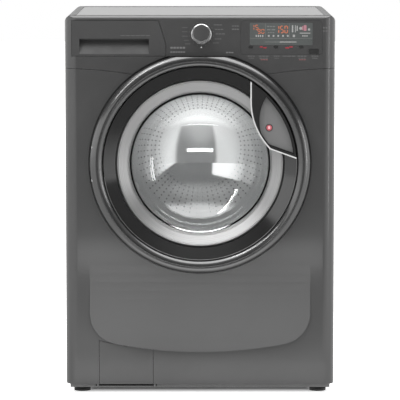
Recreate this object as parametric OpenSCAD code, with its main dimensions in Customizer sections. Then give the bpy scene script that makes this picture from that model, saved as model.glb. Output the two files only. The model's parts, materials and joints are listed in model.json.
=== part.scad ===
// Front-loading washing machine, built from its separate pieces.
// +Z is up and the front faces -Y. The origin is on the floor, under the middle.
// Depths marked "forward" are measured ahead of the flat front, so inside is negative.

/* [Cabinet] */
// Width over the side panels
body_w = 600; // [580:1:660]
// Height from the floor to the top of the console
body_h = 845; // [835:1:900]
// Depth from the flat front to the outside of the rear panel
body_d = 542; // [535:1:620]
// Thickness of the steel sheet
sheet = 1.2; // [0.8:0.1:1.6]
// Radius of the two front vertical edges
edge_r = 26; // [18:1:30]
// Length of the front's returns along the sides
return_d = 34; // [32:1:50]
// Gap between neighbouring panels
panel_gap = 0.8; // [0.4:0.1:1.5]
// Height of the panels' bottom edge above the floor
panel_z = 20.5; // [18:0.5:26]
// Width of the bent flanges on the side panels
flange_w = 18; // [12:1:24]
// Thickness of the worktop board
top_t = 22; // [18:1:25]
// Width of the frame round the worktop board
trim_w = 24; // [16:1:32]

/* [Base] */
// Height of the base tray's underside above the floor
base_z = 12.5; // [11:0.5:15]
// How far the base tray's skirt stands in from the side panels
base_inset = 9.5; // [6:0.5:14]
// Height of the base tray's walls above the panels' bottom edge
base_wall_h = 26; // [20:1:32]
// Thickness of the base tray's plastic
base_t = 3; // [2:0.5:4]
// Radius of a foot's pad
foot_r = 18.5; // [15:0.5:20]
// Radius of a foot's threaded stem
foot_stem_r = 5; // [4:0.5:6]
// Distance of the feet from the sides
foot_in = 35; // [30:1:50]

/* [Front] */
// Height of the console at the sides
console_h = 117; // [110:1:125]
// Radius of the seam's curve
seam_r = 975; // [800:5:1200]
// Lowest height of the raised shield above the panels' bottom edge
shield_rise = 74.2; // [65:0.1:90]
// Radius of the shield's bottom edge
shield_r = 1000; // [800:10:1400]
// Distance of the shield from the sides
shield_in = 54; // [45:1:65]
// Radius of the shield's lower corners
shield_corner = 70; // [40:1:90]
// How far the shield's lower edge stands proud
shield_proud = 9; // [5:0.5:12]
// Height over which the shield fades into the flat front
shield_h = 195.3; // [180:0.1:225]

/* [Door] */
// Distance of the door's centre below the seam's height at the sides
door_drop = 210; // [204:1:216]
// Outer radius of the door
door_r = 245; // [238:1:250]
// How far the door stands ahead of the flat front
door_proud = 30; // [26:1:34]
// Gap round the door
door_gap = 2.7; // [1.5:0.1:4]
// Depth of the round recess that the door lies in
recess_d = 12; // [10:0.5:16]
// Height of the door's flat top above its centre
door_flat = 236.5; // [225:0.5:240]
// Width of the rounded outer ring
ring_w = 31; // [26:1:34]
// Wall of the door's mouldings
door_t = 2.5; // [2:0.1:3]
// Width of the black inner ring
black_w = 25.8; // [22:0.1:28]
// Width of the silver trim ring
trim_ring_w = 28; // [26:1:32]
// Gap between the glass bowl's mouth and the gasket's opening
mouth_gap = 16; // [14:1:18]
// Depth of the glass bowl
glass_d = 92; // [70:1:100]
// Wall of the glass bowl
glass_t = 4; // [3:0.5:6]
// Radius of the hinge pins
hinge_pin_r = 3; // [2.5:0.5:3.5]
// Sideways distance of the hinge axis from the door's left edge
hinge_in = 10; // [9:0.5:12]
// Distance of the hinge axis ahead of the flat front
hinge_out = 19; // [18:0.5:20]
// Height of each hinge arm
hinge_arm_h = 14; // [10:1:20]
// Distance from the door's centre to each hinge arm
hinge_rise = 32; // [26:1:36]

/* [Handle] */
// Distance of the handle plate's left edge from the door's right edge
plate_in = 133.7; // [130:0.1:140]
// Radius of the handle plate's curved edge
plate_r = 149; // [140:1:160]
// Distance below the door's top at which the plate's curve starts
plate_drop = 107; // [100:1:115]
// Front face of the handle plate ahead of the flat front
plate_f = 25; // [24:0.5:26]
// Width of the bright strip along the plate
strip_w = 3; // [2:0.5:4]
// Gap round the handle lever
lever_gap = 1; // [0.6:0.1:1.5]

/* [Console] */
// Wall of the console moulding
console_t = 2.5; // [2:0.1:3]
// Radius of the console's top corners
console_corner = 15; // [10:1:20]
// Radius of the console's top front edge
console_edge = 8; // [6:0.5:10]
// Depth of the console's top
console_top_d = 28; // [27:0.5:30]
// Distance of the drawer front from the left side
drawer_in = 16; // [16:1:22]
// Width of the drawer front at its foot
drawer_w = 208; // [200:1:212]
// How far the slanted edge leans in at the drawer's top
drawer_lean = 16; // [0:1:20]
// Distance of the drawer front below the console's top
drawer_drop = 11; // [9:1:14]
// Height of the drawer front
drawer_h = 78; // [72:1:80]
// Height of the finger recess in the drawer front
grip_h = 36; // [30:1:40]
// Depth of the finger recess
grip_d = 16; // [12:1:20]
// Distance of the display window from the right side
window_in = 29; // [24:1:33]
// Width of the display window
window_w = 181; // [170:1:184]
// Distance of the display window below the console's top
window_drop = 11; // [9:1:14]
// Height of the display window
window_h = 75; // [70:1:78]
// Radius of the display window's corners
window_r = 7; // [3:1:10]
// Radius of the program knob
knob_r = 22.5; // [20:0.5:24]
// How far the knob stands ahead of the console
knob_h = 15; // [10:1:20]
// Sideways place of the knob
knob_x = 3; // [0:0.5:8]
// Distance of the knob's middle below the console's top
knob_drop = 40.4; // [38:0.1:46]
// Radius of the knob's dark insert
insert_r = 16; // [12:0.5:17]
// How far the insert sits above the knob's middle
insert_rise = 3.4; // [0:0.1:4]
// Length of an option button
button_w = 9; // [6:0.5:12]
// Height of an option button
button_h = 4.6; // [4:0.1:6]
// Width of the start button
start_w = 21; // [16:1:24]
// Height of the start button
start_h = 10; // [8:0.5:12]
// Distance that a button can be pressed
button_travel = 1.5; // [1:0.1:2]

/* [Wash unit] */
// Gap between the tub and a side panel
tub_side = 48.8; // [46:0.1:56]
// Gap between the drum pulley and the rear panel
rear_room = 37; // [30:1:50]
// How much smaller than the tub's opening the drum's mouth is
mouth_step = 6; // [4:1:8]
// Thickness of the drum's sheet
drum_t = 1; // [0.8:0.1:1.5]
// Gap between drum and tub
tub_clear = 10; // [8:1:12]
// Wall of the plastic tub
tub_t = 7; // [4:0.5:8]
// Distance of the tub's front wall behind the flat front
tub_f = 58; // [56:1:64]
// Radius of the drum shaft
shaft_r = 15; // [12:0.5:18]
// Outer radius of the drum bearings
bearing_r = 31; // [28:1:36]
// Width of a drum bearing
bearing_w = 15; // [12:1:18]
// Outer radius of the drum pulley
pulley_r = 140; // [120:1:150]
// Outer radius of the motor pulley
motor_pulley_r = 11; // [9:0.5:14]
// Width of the drive belt
belt_w = 14; // [10:1:16]
// Radius of the motor
motor_r = 64; // [55:1:68]
// Length of the motor
motor_l = 120; // [100:1:130]
// Distance of the motor's axis below the drum's
motor_drop = 370; // [362:1:376]
// Sideways place of the motor's axis
motor_x = 95; // [85:1:105]

/* [Water] */
// Radius of the inlet valve's threaded end
inlet_r = 13.2; // [10:0.1:14]
// Length of the inlet valve's thread behind the rear panel
inlet_l = 28; // [24:1:30]
// Radius of the drain union
drain_r = 10; // [8:0.5:12]
// Radius of the filter cap
filter_r = 27; // [22:0.5:28]
// Height of the filter's middle above the base tray's underside
filter_rise = 49.5; // [46:0.5:51]
// Distance of the filter flap from the left side
flap_in = 75; // [72:1:85]
// Width of the filter flap
flap_w = 120; // [110:1:125]

/* [Fits] */
// Clearance of a sliding or pressed piece
slide_gap = 1; // [0.6:0.1:1.4]
// Radial clearance of a pin or shaft in its bore
pin_gap = 0.08; // [0.02:0.01:0.1]

/* [Hidden] */
$fn = 96;
eps = 1;

steel = [0.33, 0.33, 0.34];
gloss_black = [0.08, 0.08, 0.09];
silver = [0.78, 0.78, 0.80];
zinc = [0.62, 0.63, 0.65];
grey_plastic = [0.45, 0.46, 0.47];
white_plastic = [0.88, 0.88, 0.86];
concrete = [0.6, 0.59, 0.56];
rubber = [0.35, 0.35, 0.36];

// front plane and rear plane along Y: the door and the inlet valve reach the ends
total_d = door_proud + body_d + inlet_l;
front_y = -total_d / 2 + door_proud;
rear_y = front_y + body_d;
side_x = body_w / 2;
inside_x = side_x - sheet;
// the seam's arcs peak just outside the body
seam_x = side_x + 10;
top_z = body_h - top_t;
seam_z = body_h - console_h;
door_z = seam_z - door_drop;
shield_z = panel_z + shield_rise;
shield_top = shield_z + shield_h;
shield_half = side_x - shield_in;
flap_x0 = -side_x + flap_in;
drawer_x0 = -side_x + drawer_in;
drawer_x1 = drawer_x0 + drawer_w;
drawer_z0 = body_h - drawer_drop - drawer_h;
window_x0 = side_x - window_in - window_w;
window_z0 = body_h - window_drop - window_h;
knob_z = body_h - knob_drop;

// the door's rings, from the outside in
groove_r = door_r + door_gap;
black_out = door_r - ring_w - 0.2;
inner_ring_r = black_out - black_w;
trim_r = inner_ring_r - 4;
glass_r = trim_r - trim_ring_w;
opening_r = glass_r + mouth_gap;
drum_mouth = opening_r - mouth_step;
plate_x = door_r - plate_in;
plate_rise = door_r - plate_drop;

// places behind the flat front, all negative
tub_r = inside_x - tub_side;
tub_inner_r = tub_r - tub_t;
drum_r = tub_inner_r - tub_clear;
spider_t = 12;
boss_l = 2 * bearing_w + 8;
pulley_w = belt_w + 8;
pulley_f = -body_d + rear_room + pulley_w;
boss_back = pulley_f + 12;
tub_back = boss_back + boss_l + tub_t;
drum_back = tub_back + spider_t + 5;
drum_front = -tub_f - tub_t - 6;
drum_l = drum_front - drum_back;
tub_split = drum_front - 180;
belt_t = 4;
flap_t = 2.5;

// draws in the front plane: X to the right, Y up, Z forward
module from_front(z = 0) {
  translate([0, front_y, z]) rotate([90, 0, 0]) children();
}

module on_door() {
  from_front(door_z) children();
}

module plate(depth, thickness) {
  translate([0, 0, depth]) linear_extrude(thickness) children();
}

module rounded_rect(w, h, r) {
  translate([r, 0]) square([w - 2 * r, h]);
  translate([0, r]) square([w, h - 2 * r]);
  for (x = [r, w - r], y = [r, h - r]) translate([x, y]) circle(r);
}

module ring(outer, inner, depth, thickness) {
  plate(depth, thickness) difference() {
    circle(outer);
    circle(inner);
  }
}

module box(x0, x1, y0, y1, z0, z1) {
  translate([x0, y0, z0]) cube([x1 - x0, y1 - y0, z1 - z0]);
}

module mirrored_x() {
  children();
  mirror([1, 0, 0]) children();
}

// ---- cabinet ----

// plan of the front with its rounded corners, for the console's top
module front_plan() {
  corner_y = front_y + edge_r;
  intersection() {
    translate([-side_x, front_y]) square([body_w, return_d]);
    union() {
      translate([-side_x + edge_r, front_y]) square([body_w - 2 * edge_r, return_d]);
      translate([-side_x, corner_y]) square([body_w, return_d - edge_r]);
      for (s = [-1, 1]) translate([s * (side_x - edge_r), corner_y]) circle(edge_r);
    }
  }
}

// wall of thickness t along the front, round both corners and back along the sides
module front_shell(t, z0, z1) {
  translate([0, 0, z0]) linear_extrude(z1 - z0) {
    translate([-side_x + edge_r, front_y]) square([body_w - 2 * edge_r, t]);
    mirrored_x() {
      translate([side_x - t, front_y + edge_r]) square([t, return_d - edge_r]);
      translate([side_x - edge_r, front_y + edge_r]) intersection() {
        difference() {
          circle(edge_r);
          circle(edge_r - t);
        }
        translate([0, -edge_r - eps]) square([edge_r + eps, edge_r + eps]);
      }
    }
  }
}

// area under the seam, from the panels' bottom edge up
module under_seam(gap) {
  for (s = [-1, 1]) intersection() {
    translate([s < 0 ? -side_x - eps : 0, panel_z]) square([side_x + eps, seam_z - panel_z + eps]);
    translate([s * seam_x, seam_z - seam_r]) circle(seam_r - gap, $fn = 360);
  }
}

// area of the round recess below the console's straight lower edge
module door_area(r, top) {
  intersection() {
    circle(r, $fn = 180);
    translate([-r - eps, -r - eps]) square([2 * (r + eps), r + eps + top]);
  }
}

// outline of the raised shield, shrunk by t
module shield_area(t) {
  c = shield_corner - t;
  big = shield_r - t;
  half = shield_half - t;
  mid = shield_z + shield_r;
  corner_z = mid - sqrt(pow(big - c, 2) - pow(half - c, 2));
  touch_x = (half - c) * big / (big - c);
  intersection() {
    translate([0, mid]) circle(big, $fn = 360);
    translate([-touch_x, shield_z - eps]) square([2 * touch_x, corner_z - shield_z + 2 * eps]);
  }
  translate([-half, corner_z]) square([2 * half, shield_top - corner_z - t]);
  for (s = [-1, 1]) translate([s * (half - c), corner_z]) circle(c);
}

// the shield flares forward towards its foot
module shield_solid(t, depth) {
  drop = shield_top - shield_z;
  n = 10;
  intersection() {
    plate(-depth, depth + shield_proud + eps) shield_area(t);
    translate([-side_x, 0, 0]) rotate([90, 0, 90]) linear_extrude(body_w)
      polygon(concat([[shield_top, -depth]],
        [for (i = [0:n]) [shield_top - drop * i / n, shield_proud * pow(i / n, 1.6) - t]],
        [[shield_z - eps, shield_proud - t], [shield_z - eps, -depth]]));
  }
}

module flap_area(gap) {
  difference() {
    translate([flap_x0 - gap, panel_z - 2 * gap]) square([flap_w + 2 * gap, 1.5 * shield_z]);
    translate([0, shield_z + shield_r]) circle(shield_r + panel_gap * 2 - gap, $fn = 360);
  }
}

module front_panel() {
  dish_top = door_flat - 4;
  color(steel) {
    difference() {
      union() {
        intersection() {
          front_shell(sheet, panel_z, seam_z + eps);
          from_front() plate(-return_d - eps, return_d + 2 * eps) under_seam(0);
        }
        from_front() shield_solid(0, sheet);
      }
      from_front() shield_solid(sheet, sheet + eps);
      on_door() plate(-sheet - eps, sheet + 2 * eps) circle(groove_r, $fn = 180);
      from_front() plate(-sheet - eps, sheet + 2 * eps) flap_area(panel_gap);
    }
    on_door() {
      // the recess: its wall below the seam, then its floor and the lip that holds the gasket
      difference() {
        plate(-recess_d - sheet, recess_d) door_area(groove_r + sheet, dish_top);
        plate(-recess_d, recess_d + eps) circle(groove_r, $fn = 180);
        plate(-recess_d - sheet - eps, recess_d + 2 * eps) circle(opening_r);
        lock_slot();
        // above the seam the recess stays behind the console's own edge
        translate([0, 0, -console_t - slide_gap]) linear_extrude(recess_d) difference() {
          circle(groove_r + sheet + eps);
          translate([0, -door_z]) under_seam(0);
        }
      }
      ring(opening_r + sheet, opening_r, -recess_d - sheet - 9, 9 + sheet / 2);
    }
  }
}

// slot in the recess floor that the latch hook passes through
module lock_slot() {
  plate(-recess_d - sheet - eps, sheet + 2 * eps)
    translate([hook_x - 9, -hook_h / 2 - 2]) square([hook_t + 22, hook_h + 4]);
}

module side_panel() {
  y0 = front_y + return_d + panel_gap;
  color(steel) {
    box(inside_x, side_x, y0, rear_y, panel_z, top_z);
    box(inside_x - flange_w, inside_x, y0, rear_y - sheet, top_z - sheet, top_z);
    box(inside_x - flange_w, inside_x, rear_y - 2 * sheet, rear_y - sheet, panel_z + base_wall_h + 2,
      top_z - sheet);
    // hanger for the suspension spring
    box(spring_x - 6, inside_x, spring_y - 4, spring_y + 4, spring_top, spring_top + 4);
  }
}

module left_side_panel() {
  mirror([1, 0, 0]) side_panel();
}

module right_side_panel() {
  side_panel();
}

cover_w = 2 * pulley_r + 50;
cover_h = 2 * pulley_r + 60;
transit_x = cover_w / 2 + 42;
transit_z = 150;
transit_r = 9;

module rear_panel() {
  w = 2 * (inside_x - 0.3);
  color(zinc) difference() {
    box(-w / 2, w / 2, rear_y - sheet, rear_y, panel_z, top_z);
    from_rear() {
      plate(-eps, sheet + 2 * eps) translate([-cover_w / 2 + 15, door_z - cover_h / 2 + 15])
        rounded_rect(cover_w - 30, cover_h - 30, 25);
      for (x = [-1, 1], z = [-1, 1])
        translate([x * transit_x, door_z + z * transit_z, -eps]) cylinder(h = sheet + 2 * eps, r = transit_r);
      for (p = [[valve_x, valve_z, inlet_r + 1], [drain_x, drain_z, drain_r + 3],
        [gland_x, gland_z, gland_r]])
        translate([p[0], p[1], -eps]) cylinder(h = sheet + 2 * eps, r = p[2]);
    }
  }
}

// draws in the rear panel's inner face: X to the right seen from the front, Z forward is inwards
module from_rear() {
  translate([0, rear_y, 0]) rotate([90, 0, 0]) children();
}

module rear_access_cover() {
  rise = 8;
  color(zinc) from_rear() difference() {
    union() {
      plate(-sheet, sheet) translate([-cover_w / 2, door_z - cover_h / 2]) rounded_rect(cover_w, cover_h, 20);
      plate(-rise, rise) translate([-cover_w / 2 + 20, door_z - cover_h / 2 + 20])
        rounded_rect(cover_w - 40, cover_h - 40, 22);
    }
    plate(-rise + sheet, rise + eps) translate([-cover_w / 2 + 20 + sheet, door_z - cover_h / 2 + 20 + sheet])
      rounded_rect(cover_w - 40 - 2 * sheet, cover_h - 40 - 2 * sheet, 22 - sheet);
  }
}

foot_x = side_x - foot_in;
foot_front_y = front_y + return_d + 12;
foot_rear_y = rear_y - 40;

module base_tray() {
  x0 = side_x - base_inset;
  y0 = front_y + 8;
  y1 = rear_y - sheet;
  top = panel_z + base_wall_h;
  color(grey_plastic) difference() {
    union() {
      box(-x0, x0, y0, y1 - 4, base_z, panel_z);
      box(-inside_x, inside_x, front_y + return_d, y1, panel_z, top);
      box(-x0, x0, y0, front_y + return_d, panel_z, panel_z + 4);
    }
    difference() {
      box(-x0 + base_t, x0 - base_t, y0 + base_t, y1 - base_t - 4, base_z + base_t, top + eps);
      foot_bosses();
    }
    // room for the filter housing and its flap
    box(flap_x0 - 8, flap_x0 + flap_w + 8, y0 - eps, front_y + return_d + 6, base_z + base_t, top + eps);
    each_foot() cylinder(h = 3 * top, r = foot_stem_r + pin_gap, center = true);
  }
  // ears that hold the filter flap's pin
  color(grey_plastic) from_front() for (x = [flap_x0 - 5.5, flap_x0 + flap_w + 1.5]) difference() {
    translate([x, base_z + base_t - eps, flap_axis_f - 5])
      cube([4, flap_axis_z + 5 - base_z - base_t + eps, 10]);
    translate([x - eps, flap_axis_z, flap_axis_f]) rotate([0, 90, 0])
      cylinder(h = 10, r = flap_pin_r + pin_gap);
  }
}

module each_foot() {
  for (x = [-1, 1], y = [foot_front_y, foot_rear_y]) translate([x * foot_x, y, 0]) children();
}

module foot_bosses() {
  each_foot() cylinder(h = panel_z + 14, r = foot_stem_r + 5);
}

module foot(x, y) {
  pad = base_z - 3.5;
  color(gloss_black) translate([x, y, 0]) {
    cylinder(h = pad * 0.6, r = foot_r);
    translate([0, 0, pad * 0.6]) cylinder(h = pad * 0.4, r1 = foot_r, r2 = foot_r - 5);
    translate([0, 0, pad]) cylinder(h = 3, r = foot_stem_r + 4, $fn = 6);
    cylinder(h = panel_z + 20, r = foot_stem_r);
  }
}

module foot_front_left() { foot(-foot_x, foot_front_y); }
module foot_front_right() { foot(foot_x, foot_front_y); }
module foot_rear_left() { foot(-foot_x, foot_rear_y); }
module foot_rear_right() { foot(foot_x, foot_rear_y); }

top_y0 = front_y + console_top_d + panel_gap;

module top_plan(inset) {
  w = body_w - 2 * inset;
  r = 22 - inset / 2;
  l = rear_y - top_y0 - inset;
  translate([-w / 2, top_y0]) square([w, l - r]);
  translate([-w / 2 + r, top_y0]) square([w - 2 * r, l]);
  for (s = [-1, 1]) translate([s * (w / 2 - r), top_y0 + l - r]) circle(r);
}

module worktop() {
  color(steel) translate([0, 0, top_z]) linear_extrude(top_t - 1) top_plan(trim_w);
}

module worktop_trim() {
  color(grey_plastic) difference() {
    translate([0, 0, top_z]) linear_extrude(top_t) difference() {
      top_plan(0);
      translate([0, -eps]) top_plan(trim_w);
      top_plan(trim_w);
    }
    // rounding along the two sides
    for (s = [-1, 1]) translate([s * (side_x - console_corner), top_y0 - eps, body_h - console_corner])
      difference() {
        translate([s < 0 ? -console_corner - eps : 0, 0, 0])
          cube([console_corner + eps, body_d, console_corner + eps]);
        translate([0, -eps, 0]) rotate([-90, 0, 0]) cylinder(h = body_d + 2 * eps, r = console_corner);
      }
  }
}

// ---- console ----

drawer_y = drawer_z0 + drawer_h;

// the drawer front leans in along its right edge above half height
module drawer_area(gap) {
  x0 = drawer_x0 - gap;
  x1 = drawer_x1 + gap;
  knee = drawer_z0 + drawer_h / 3;
  polygon([[x0, drawer_z0 - gap], [x1, drawer_z0 - gap], [x1, knee],
    [x1 - drawer_lean, drawer_y + gap], [x0, drawer_y + gap]]);
}

module window_area(gap) {
  translate([window_x0 - gap, window_z0 - gap])
    rounded_rect(window_w + 2 * gap, window_h + 2 * gap, window_r + gap);
}

button_z = window_z0 + 17;
button_x = [for (i = [0:2]) window_x0 + 22.4 + i * 55.7];
start_x = window_x0 + window_w - 9 - start_w;
start_z = window_z0 + 2;

module button_area(gap) {
  w = button_w + 2 * gap;
  h = button_h + 2 * gap;
  square([w - h, h], center = true);
  for (s = [-1, 1]) translate([s * (w - h) / 2, 0]) circle(h / 2);
}

module start_area(gap) {
  translate([start_x - gap, start_z - gap]) square([start_w + 2 * gap, start_h + 2 * gap]);
}

module console_area() {
  z0 = seam_z - 60;
  difference() {
    union() {
      translate([-side_x, z0]) square([body_w, body_h - z0 - console_corner]);
      translate([-side_x + console_corner, z0]) square([body_w - 2 * console_corner, body_h - z0]);
      for (s = [-1, 1]) translate([s * (side_x - console_corner), body_h - console_corner])
        circle(console_corner);
    }
    translate([-body_w, 0]) square([2 * body_w, seam_z - 40]);
    for (s = [-1, 1]) intersection() {
      translate([s < 0 ? -side_x - eps : 0, panel_z]) square([side_x + eps, seam_z]);
      translate([s * seam_x, seam_z - seam_r]) circle(seam_r + panel_gap, $fn = 360);
    }
    translate([0, door_z]) door_area(groove_r, door_flat + 1);
  }
}

module console() {
  bar = console_edge + 1;
  block = console_corner + 3;
  color(steel) difference() {
    intersection() {
      union() {
        front_shell(console_t, seam_z - 50, body_h);
        // closed top with a solid bar behind its rounded front edge
        translate([0, 0, body_h - console_t]) linear_extrude(console_t) intersection() {
          front_plan();
          translate([-side_x, front_y]) square([body_w, console_top_d]);
        }
        translate([0, 0, body_h - bar]) linear_extrude(bar) intersection() {
          front_plan();
          translate([-side_x, front_y]) square([body_w, bar]);
        }
        // corner blocks behind the rounded top corners
        translate([0, 0, body_h - block]) linear_extrude(block) intersection() {
          front_plan();
          for (s = [-1, 1]) translate([s * (side_x - block / 2) - block / 2, front_y])
            square([block, console_top_d - 2]);
        }
      }
      from_front() plate(-return_d - eps, return_d + 2 * eps) console_area();
    }
    // rounding along the top front edge
    difference() {
      box(-side_x - eps, side_x + eps, front_y - eps, front_y + console_edge, body_h - console_edge,
        body_h + eps);
      translate([-side_x - 2 * eps, front_y + console_edge, body_h - console_edge])
        rotate([0, 90, 0]) cylinder(h = body_w + 4 * eps, r = console_edge);
    }
    // the returns stop above the worktop's depth
    box(-side_x - eps, side_x + eps, front_y + console_top_d, front_y + return_d + eps, top_z - panel_gap,
      body_h + eps);
    from_front() plate(-console_t - 1, console_t + 2) {
      drawer_area(panel_gap);
      window_area(0.3);
      translate([knob_x, knob_z]) circle(knob_shaft_r + 1);
    }
  }
}

module display_window() {
  color(gloss_black) from_front() difference() {
    union() {
      plate(-console_t, console_t + 0.2) window_area(0);
      plate(-console_t - 1.5, 1.5) window_area(1.8);
    }
    plate(-console_t - 3, console_t + 5) {
      for (x = button_x) translate([x, button_z]) button_area(0.4);
      start_area(0.4);
    }
  }
}

module option_button(i) {
  color(gloss_black) from_front() translate([button_x[i], button_z, 0]) {
    plate(-console_t, console_t + 1.2) button_area(0);
    plate(-console_t - 4, 4 + eps / 2) circle(button_h / 2 - 0.3);
    plate(-console_t - 3, 1) button_area(-0.6);
  }
}

module option_button_1() { option_button(0); }
module option_button_2() { option_button(1); }
module option_button_3() { option_button(2); }

module start_button() {
  color(gloss_black) from_front() {
    plate(-console_t, console_t + 1.4) start_area(0);
    plate(-console_t - 4, 4 + eps / 2)
      translate([start_x + start_w / 2, start_z + start_h / 2]) circle(start_h / 3);
  }
}

board_f = -22;
knob_shaft_r = 3;

module control_board() {
  x0 = knob_x - 36;
  x1 = window_x0 + window_w - 4;
  z0 = window_z0 + 1;
  z1 = window_z0 + window_h - 3;
  back = -console_t;
  switch_top = back - 4 - button_travel - 0.5;
  color([0.1, 0.35, 0.2]) from_front() difference() {
    union() {
      plate(board_f, 1.6) translate([x0, z0]) square([x1 - x0, z1 - z0]);
      // display module, encoder and the switches under the buttons
      translate([window_x0 + 20, window_z0 + 24, board_f]) cube([140, window_h - 30, back - 2.5 - board_f]);
      translate([knob_x, knob_z, board_f]) cylinder(h = back - 2 - board_f, r = 12);
      for (x = button_x) translate([x, button_z, board_f]) cylinder(h = switch_top - board_f, r = 3);
      translate([start_x + start_w / 2, start_z + start_h / 2, board_f])
        cylinder(h = switch_top - board_f, r = 3);
      // standoffs that reach the console and the window
      for (x = [x0 + 4, window_x0 - 9], z = [z0 + 4, z1 - 4])
        translate([x, z, board_f]) cylinder(h = back - board_f, r = 3.5);
      for (x = [window_x0 + 8], z = [z1 - 6]) translate([x, z, board_f])
        cylinder(h = back - 1.5 - board_f, r = 3);
    }
    translate([knob_x, knob_z, board_f - eps]) cylinder(h = -board_f, r = knob_shaft_r + pin_gap);
  }
}

module program_knob() {
  color(gloss_black) from_front() {
    translate([knob_x, knob_z + insert_rise, slide_gap]) cylinder(h = knob_h, r = insert_r);
    translate([knob_x, knob_z, -console_t - 14])
      cylinder(h = console_t + 14 + slide_gap + 2, r = knob_shaft_r);
  }
}

module knob_ring() {
  rim = 2;
  color(silver) from_front() translate([knob_x, knob_z, slide_gap]) difference() {
    union() {
      cylinder(h = knob_h - rim - 2, r = knob_r);
      translate([0, 0, knob_h - rim - 2]) cylinder(h = rim, r1 = knob_r, r2 = knob_r - rim);
    }
    translate([0, insert_rise, -eps]) cylinder(h = knob_h + 2 * eps, r = insert_r);
  }
}

// ---- dispenser ----

tray_x0 = drawer_x0 + 18;
tray_x1 = drawer_x1 - drawer_lean - 6;
tray_z0 = drawer_z0 + 10;
tray_h = top_z - tray_z0 - 8;
tray_l = 232;
tray_f = -grip_d - 4;
tray_t = 2;

module drawer_front() {
  gx0 = drawer_x0 + 17;
  gx1 = drawer_x1 - 37;
  gz0 = drawer_z0 + 2;
  gz1 = gz0 + grip_h;
  back = -grip_d;
  // fingers hook behind a lip above the opening
  lip = 6;
  color(steel) from_front() difference() {
    union() {
      plate(-console_t, console_t) drawer_area(0);
      translate([gx0 - 2, 0, 0]) rotate([90, 0, 90]) linear_extrude(gx1 - gx0 + 4)
        polygon([[gz0 + 2, 0], [gz0, -console_t], [gz1 - 5, back - 2], [gz1 + lip + 2, back - 2],
          [gz1 + lip + 2, 0]]);
      // two blocks that carry the tray
      for (x = [tray_x0 + 2, tray_x1 - 12])
        translate([x, tray_z0 + tray_h - 14, tray_f]) cube([10, 10, -tray_f - console_t / 2]);
    }
    translate([gx0, 0, 0]) rotate([90, 0, 90]) linear_extrude(gx1 - gx0)
      polygon([[gz0 + 2.6, eps], [gz0 + 2.6, 0], [gz1 - 4, back], [gz1 + lip, back], [gz1 + lip, -console_t],
        [gz1, -console_t], [gz1, eps]]);
  }
}

module drawer_tray() {
  w = tray_x1 - tray_x0;
  split = [0, 0.36, 0.7, 1];
  color(white_plastic) from_front() difference() {
    translate([tray_x0, tray_z0, tray_f - tray_l]) cube([w, tray_h, tray_l]);
    for (i = [0:2]) {
      x0 = tray_x0 + w * split[i] + tray_t * (i == 0 ? 1 : 0.5);
      x1 = tray_x0 + w * split[i + 1] - tray_t * (i == 2 ? 1 : 0.5);
      translate([x0, tray_z0 + tray_t, tray_f - tray_l + tray_t])
        cube([x1 - x0, tray_h, tray_l - 2 * tray_t]);
    }
    // the trays shed their water at the back of the two outer compartments
    for (i = [0, 2]) translate([tray_x0 + w * (split[i] + split[i + 1]) / 2 - 14, tray_z0 + 16,
      tray_f - tray_l - eps]) cube([28, tray_h, tray_t + 2 * eps]);
  }
}

module siphon_cap() {
  w = tray_x1 - tray_x0;
  x = tray_x0 + w * 0.53;
  color([0.25, 0.4, 0.7]) from_front() translate([x, tray_z0 + tray_t, tray_f - tray_l + 34]) {
    translate([0, tray_h / 2, 0]) rotate([90, 0, 0]) cylinder(h = tray_h / 2, r = 8);
    translate([-18, tray_h / 2 - eps, -22]) cube([36, 3, 44]);
  }
}

module dispenser_housing() {
  g = slide_gap + 0.5;
  t = 2;
  x0 = tray_x0 - g;
  x1 = tray_x1 + g;
  z0 = tray_z0 - g;
  z1 = tray_z0 + tray_h + g;
  back = tray_f - tray_l - 6;
  hose = hose_r - 3;
  color(white_plastic) from_front() difference() {
    union() {
      translate([x0 - t, z0 - t, back - t]) cube([x1 - x0 + 2 * t, z1 - z0 + 2 * t, -back + t - grip_d - 3]);
      // lugs that reach the back of the console
      for (x = [x0 - t - 5, x1 + t - 0.5])
        translate([x, z0 + 8, -grip_d - 12]) cube([5.5, 22, grip_d + 12 - console_t]);
      translate([hose_x, z0 - t + eps, hose_f]) rotate([90, 0, 0]) cylinder(h = 14 + eps, r = hose);
      translate([valve_x, valve_z, back - t - 12]) cylinder(h = 13, r = 6);
    }
    translate([x0, z0, back]) cube([x1 - x0, z1 - z0, -back]);
    translate([hose_x, z0 + eps, hose_f]) rotate([90, 0, 0]) cylinder(h = 20, r = hose - 2);
    translate([valve_x, valve_z, back - t - 13]) cylinder(h = 20, r = 4);
  }
}

hose_r = 18;
hose_x = tray_x0 + 86;
hose_f = tray_f - tray_l + 20;

module dispenser_hose() {
  top = tray_z0 - slide_gap - 0.5 - 2;
  low = door_z + sqrt(pow(tub_r, 2) - pow(abs(hose_x) - hose_r, 2)) + slide_gap;
  color(rubber) from_front() translate([hose_x, top, hose_f]) rotate([90, 0, 0]) difference() {
    cylinder(h = top - low, r = hose_r);
    translate([0, 0, -eps]) cylinder(h = top - low + 2 * eps, r = hose_r - 3);
  }
}

// ---- door ----

hinge_x = -door_r + hinge_in;
hook_x = door_r - 40;
hook_h = 24;
hook_t = 4;
back_f = -recess_d + 3;
seat_f = back_f + 4;
glass_flange_r = glass_r + 12;

// the outer ring is a channel with a round back
module ring_profile(t) {
  r = ring_w / 2;
  translate([door_r - ring_w + t, back_f - (t > 0 ? eps : 0)])
    square([ring_w - 2 * t, door_proud - r - back_f + (t > 0 ? eps : 0)]);
  translate([door_r - r, door_proud - r]) circle(r - t);
}

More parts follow.
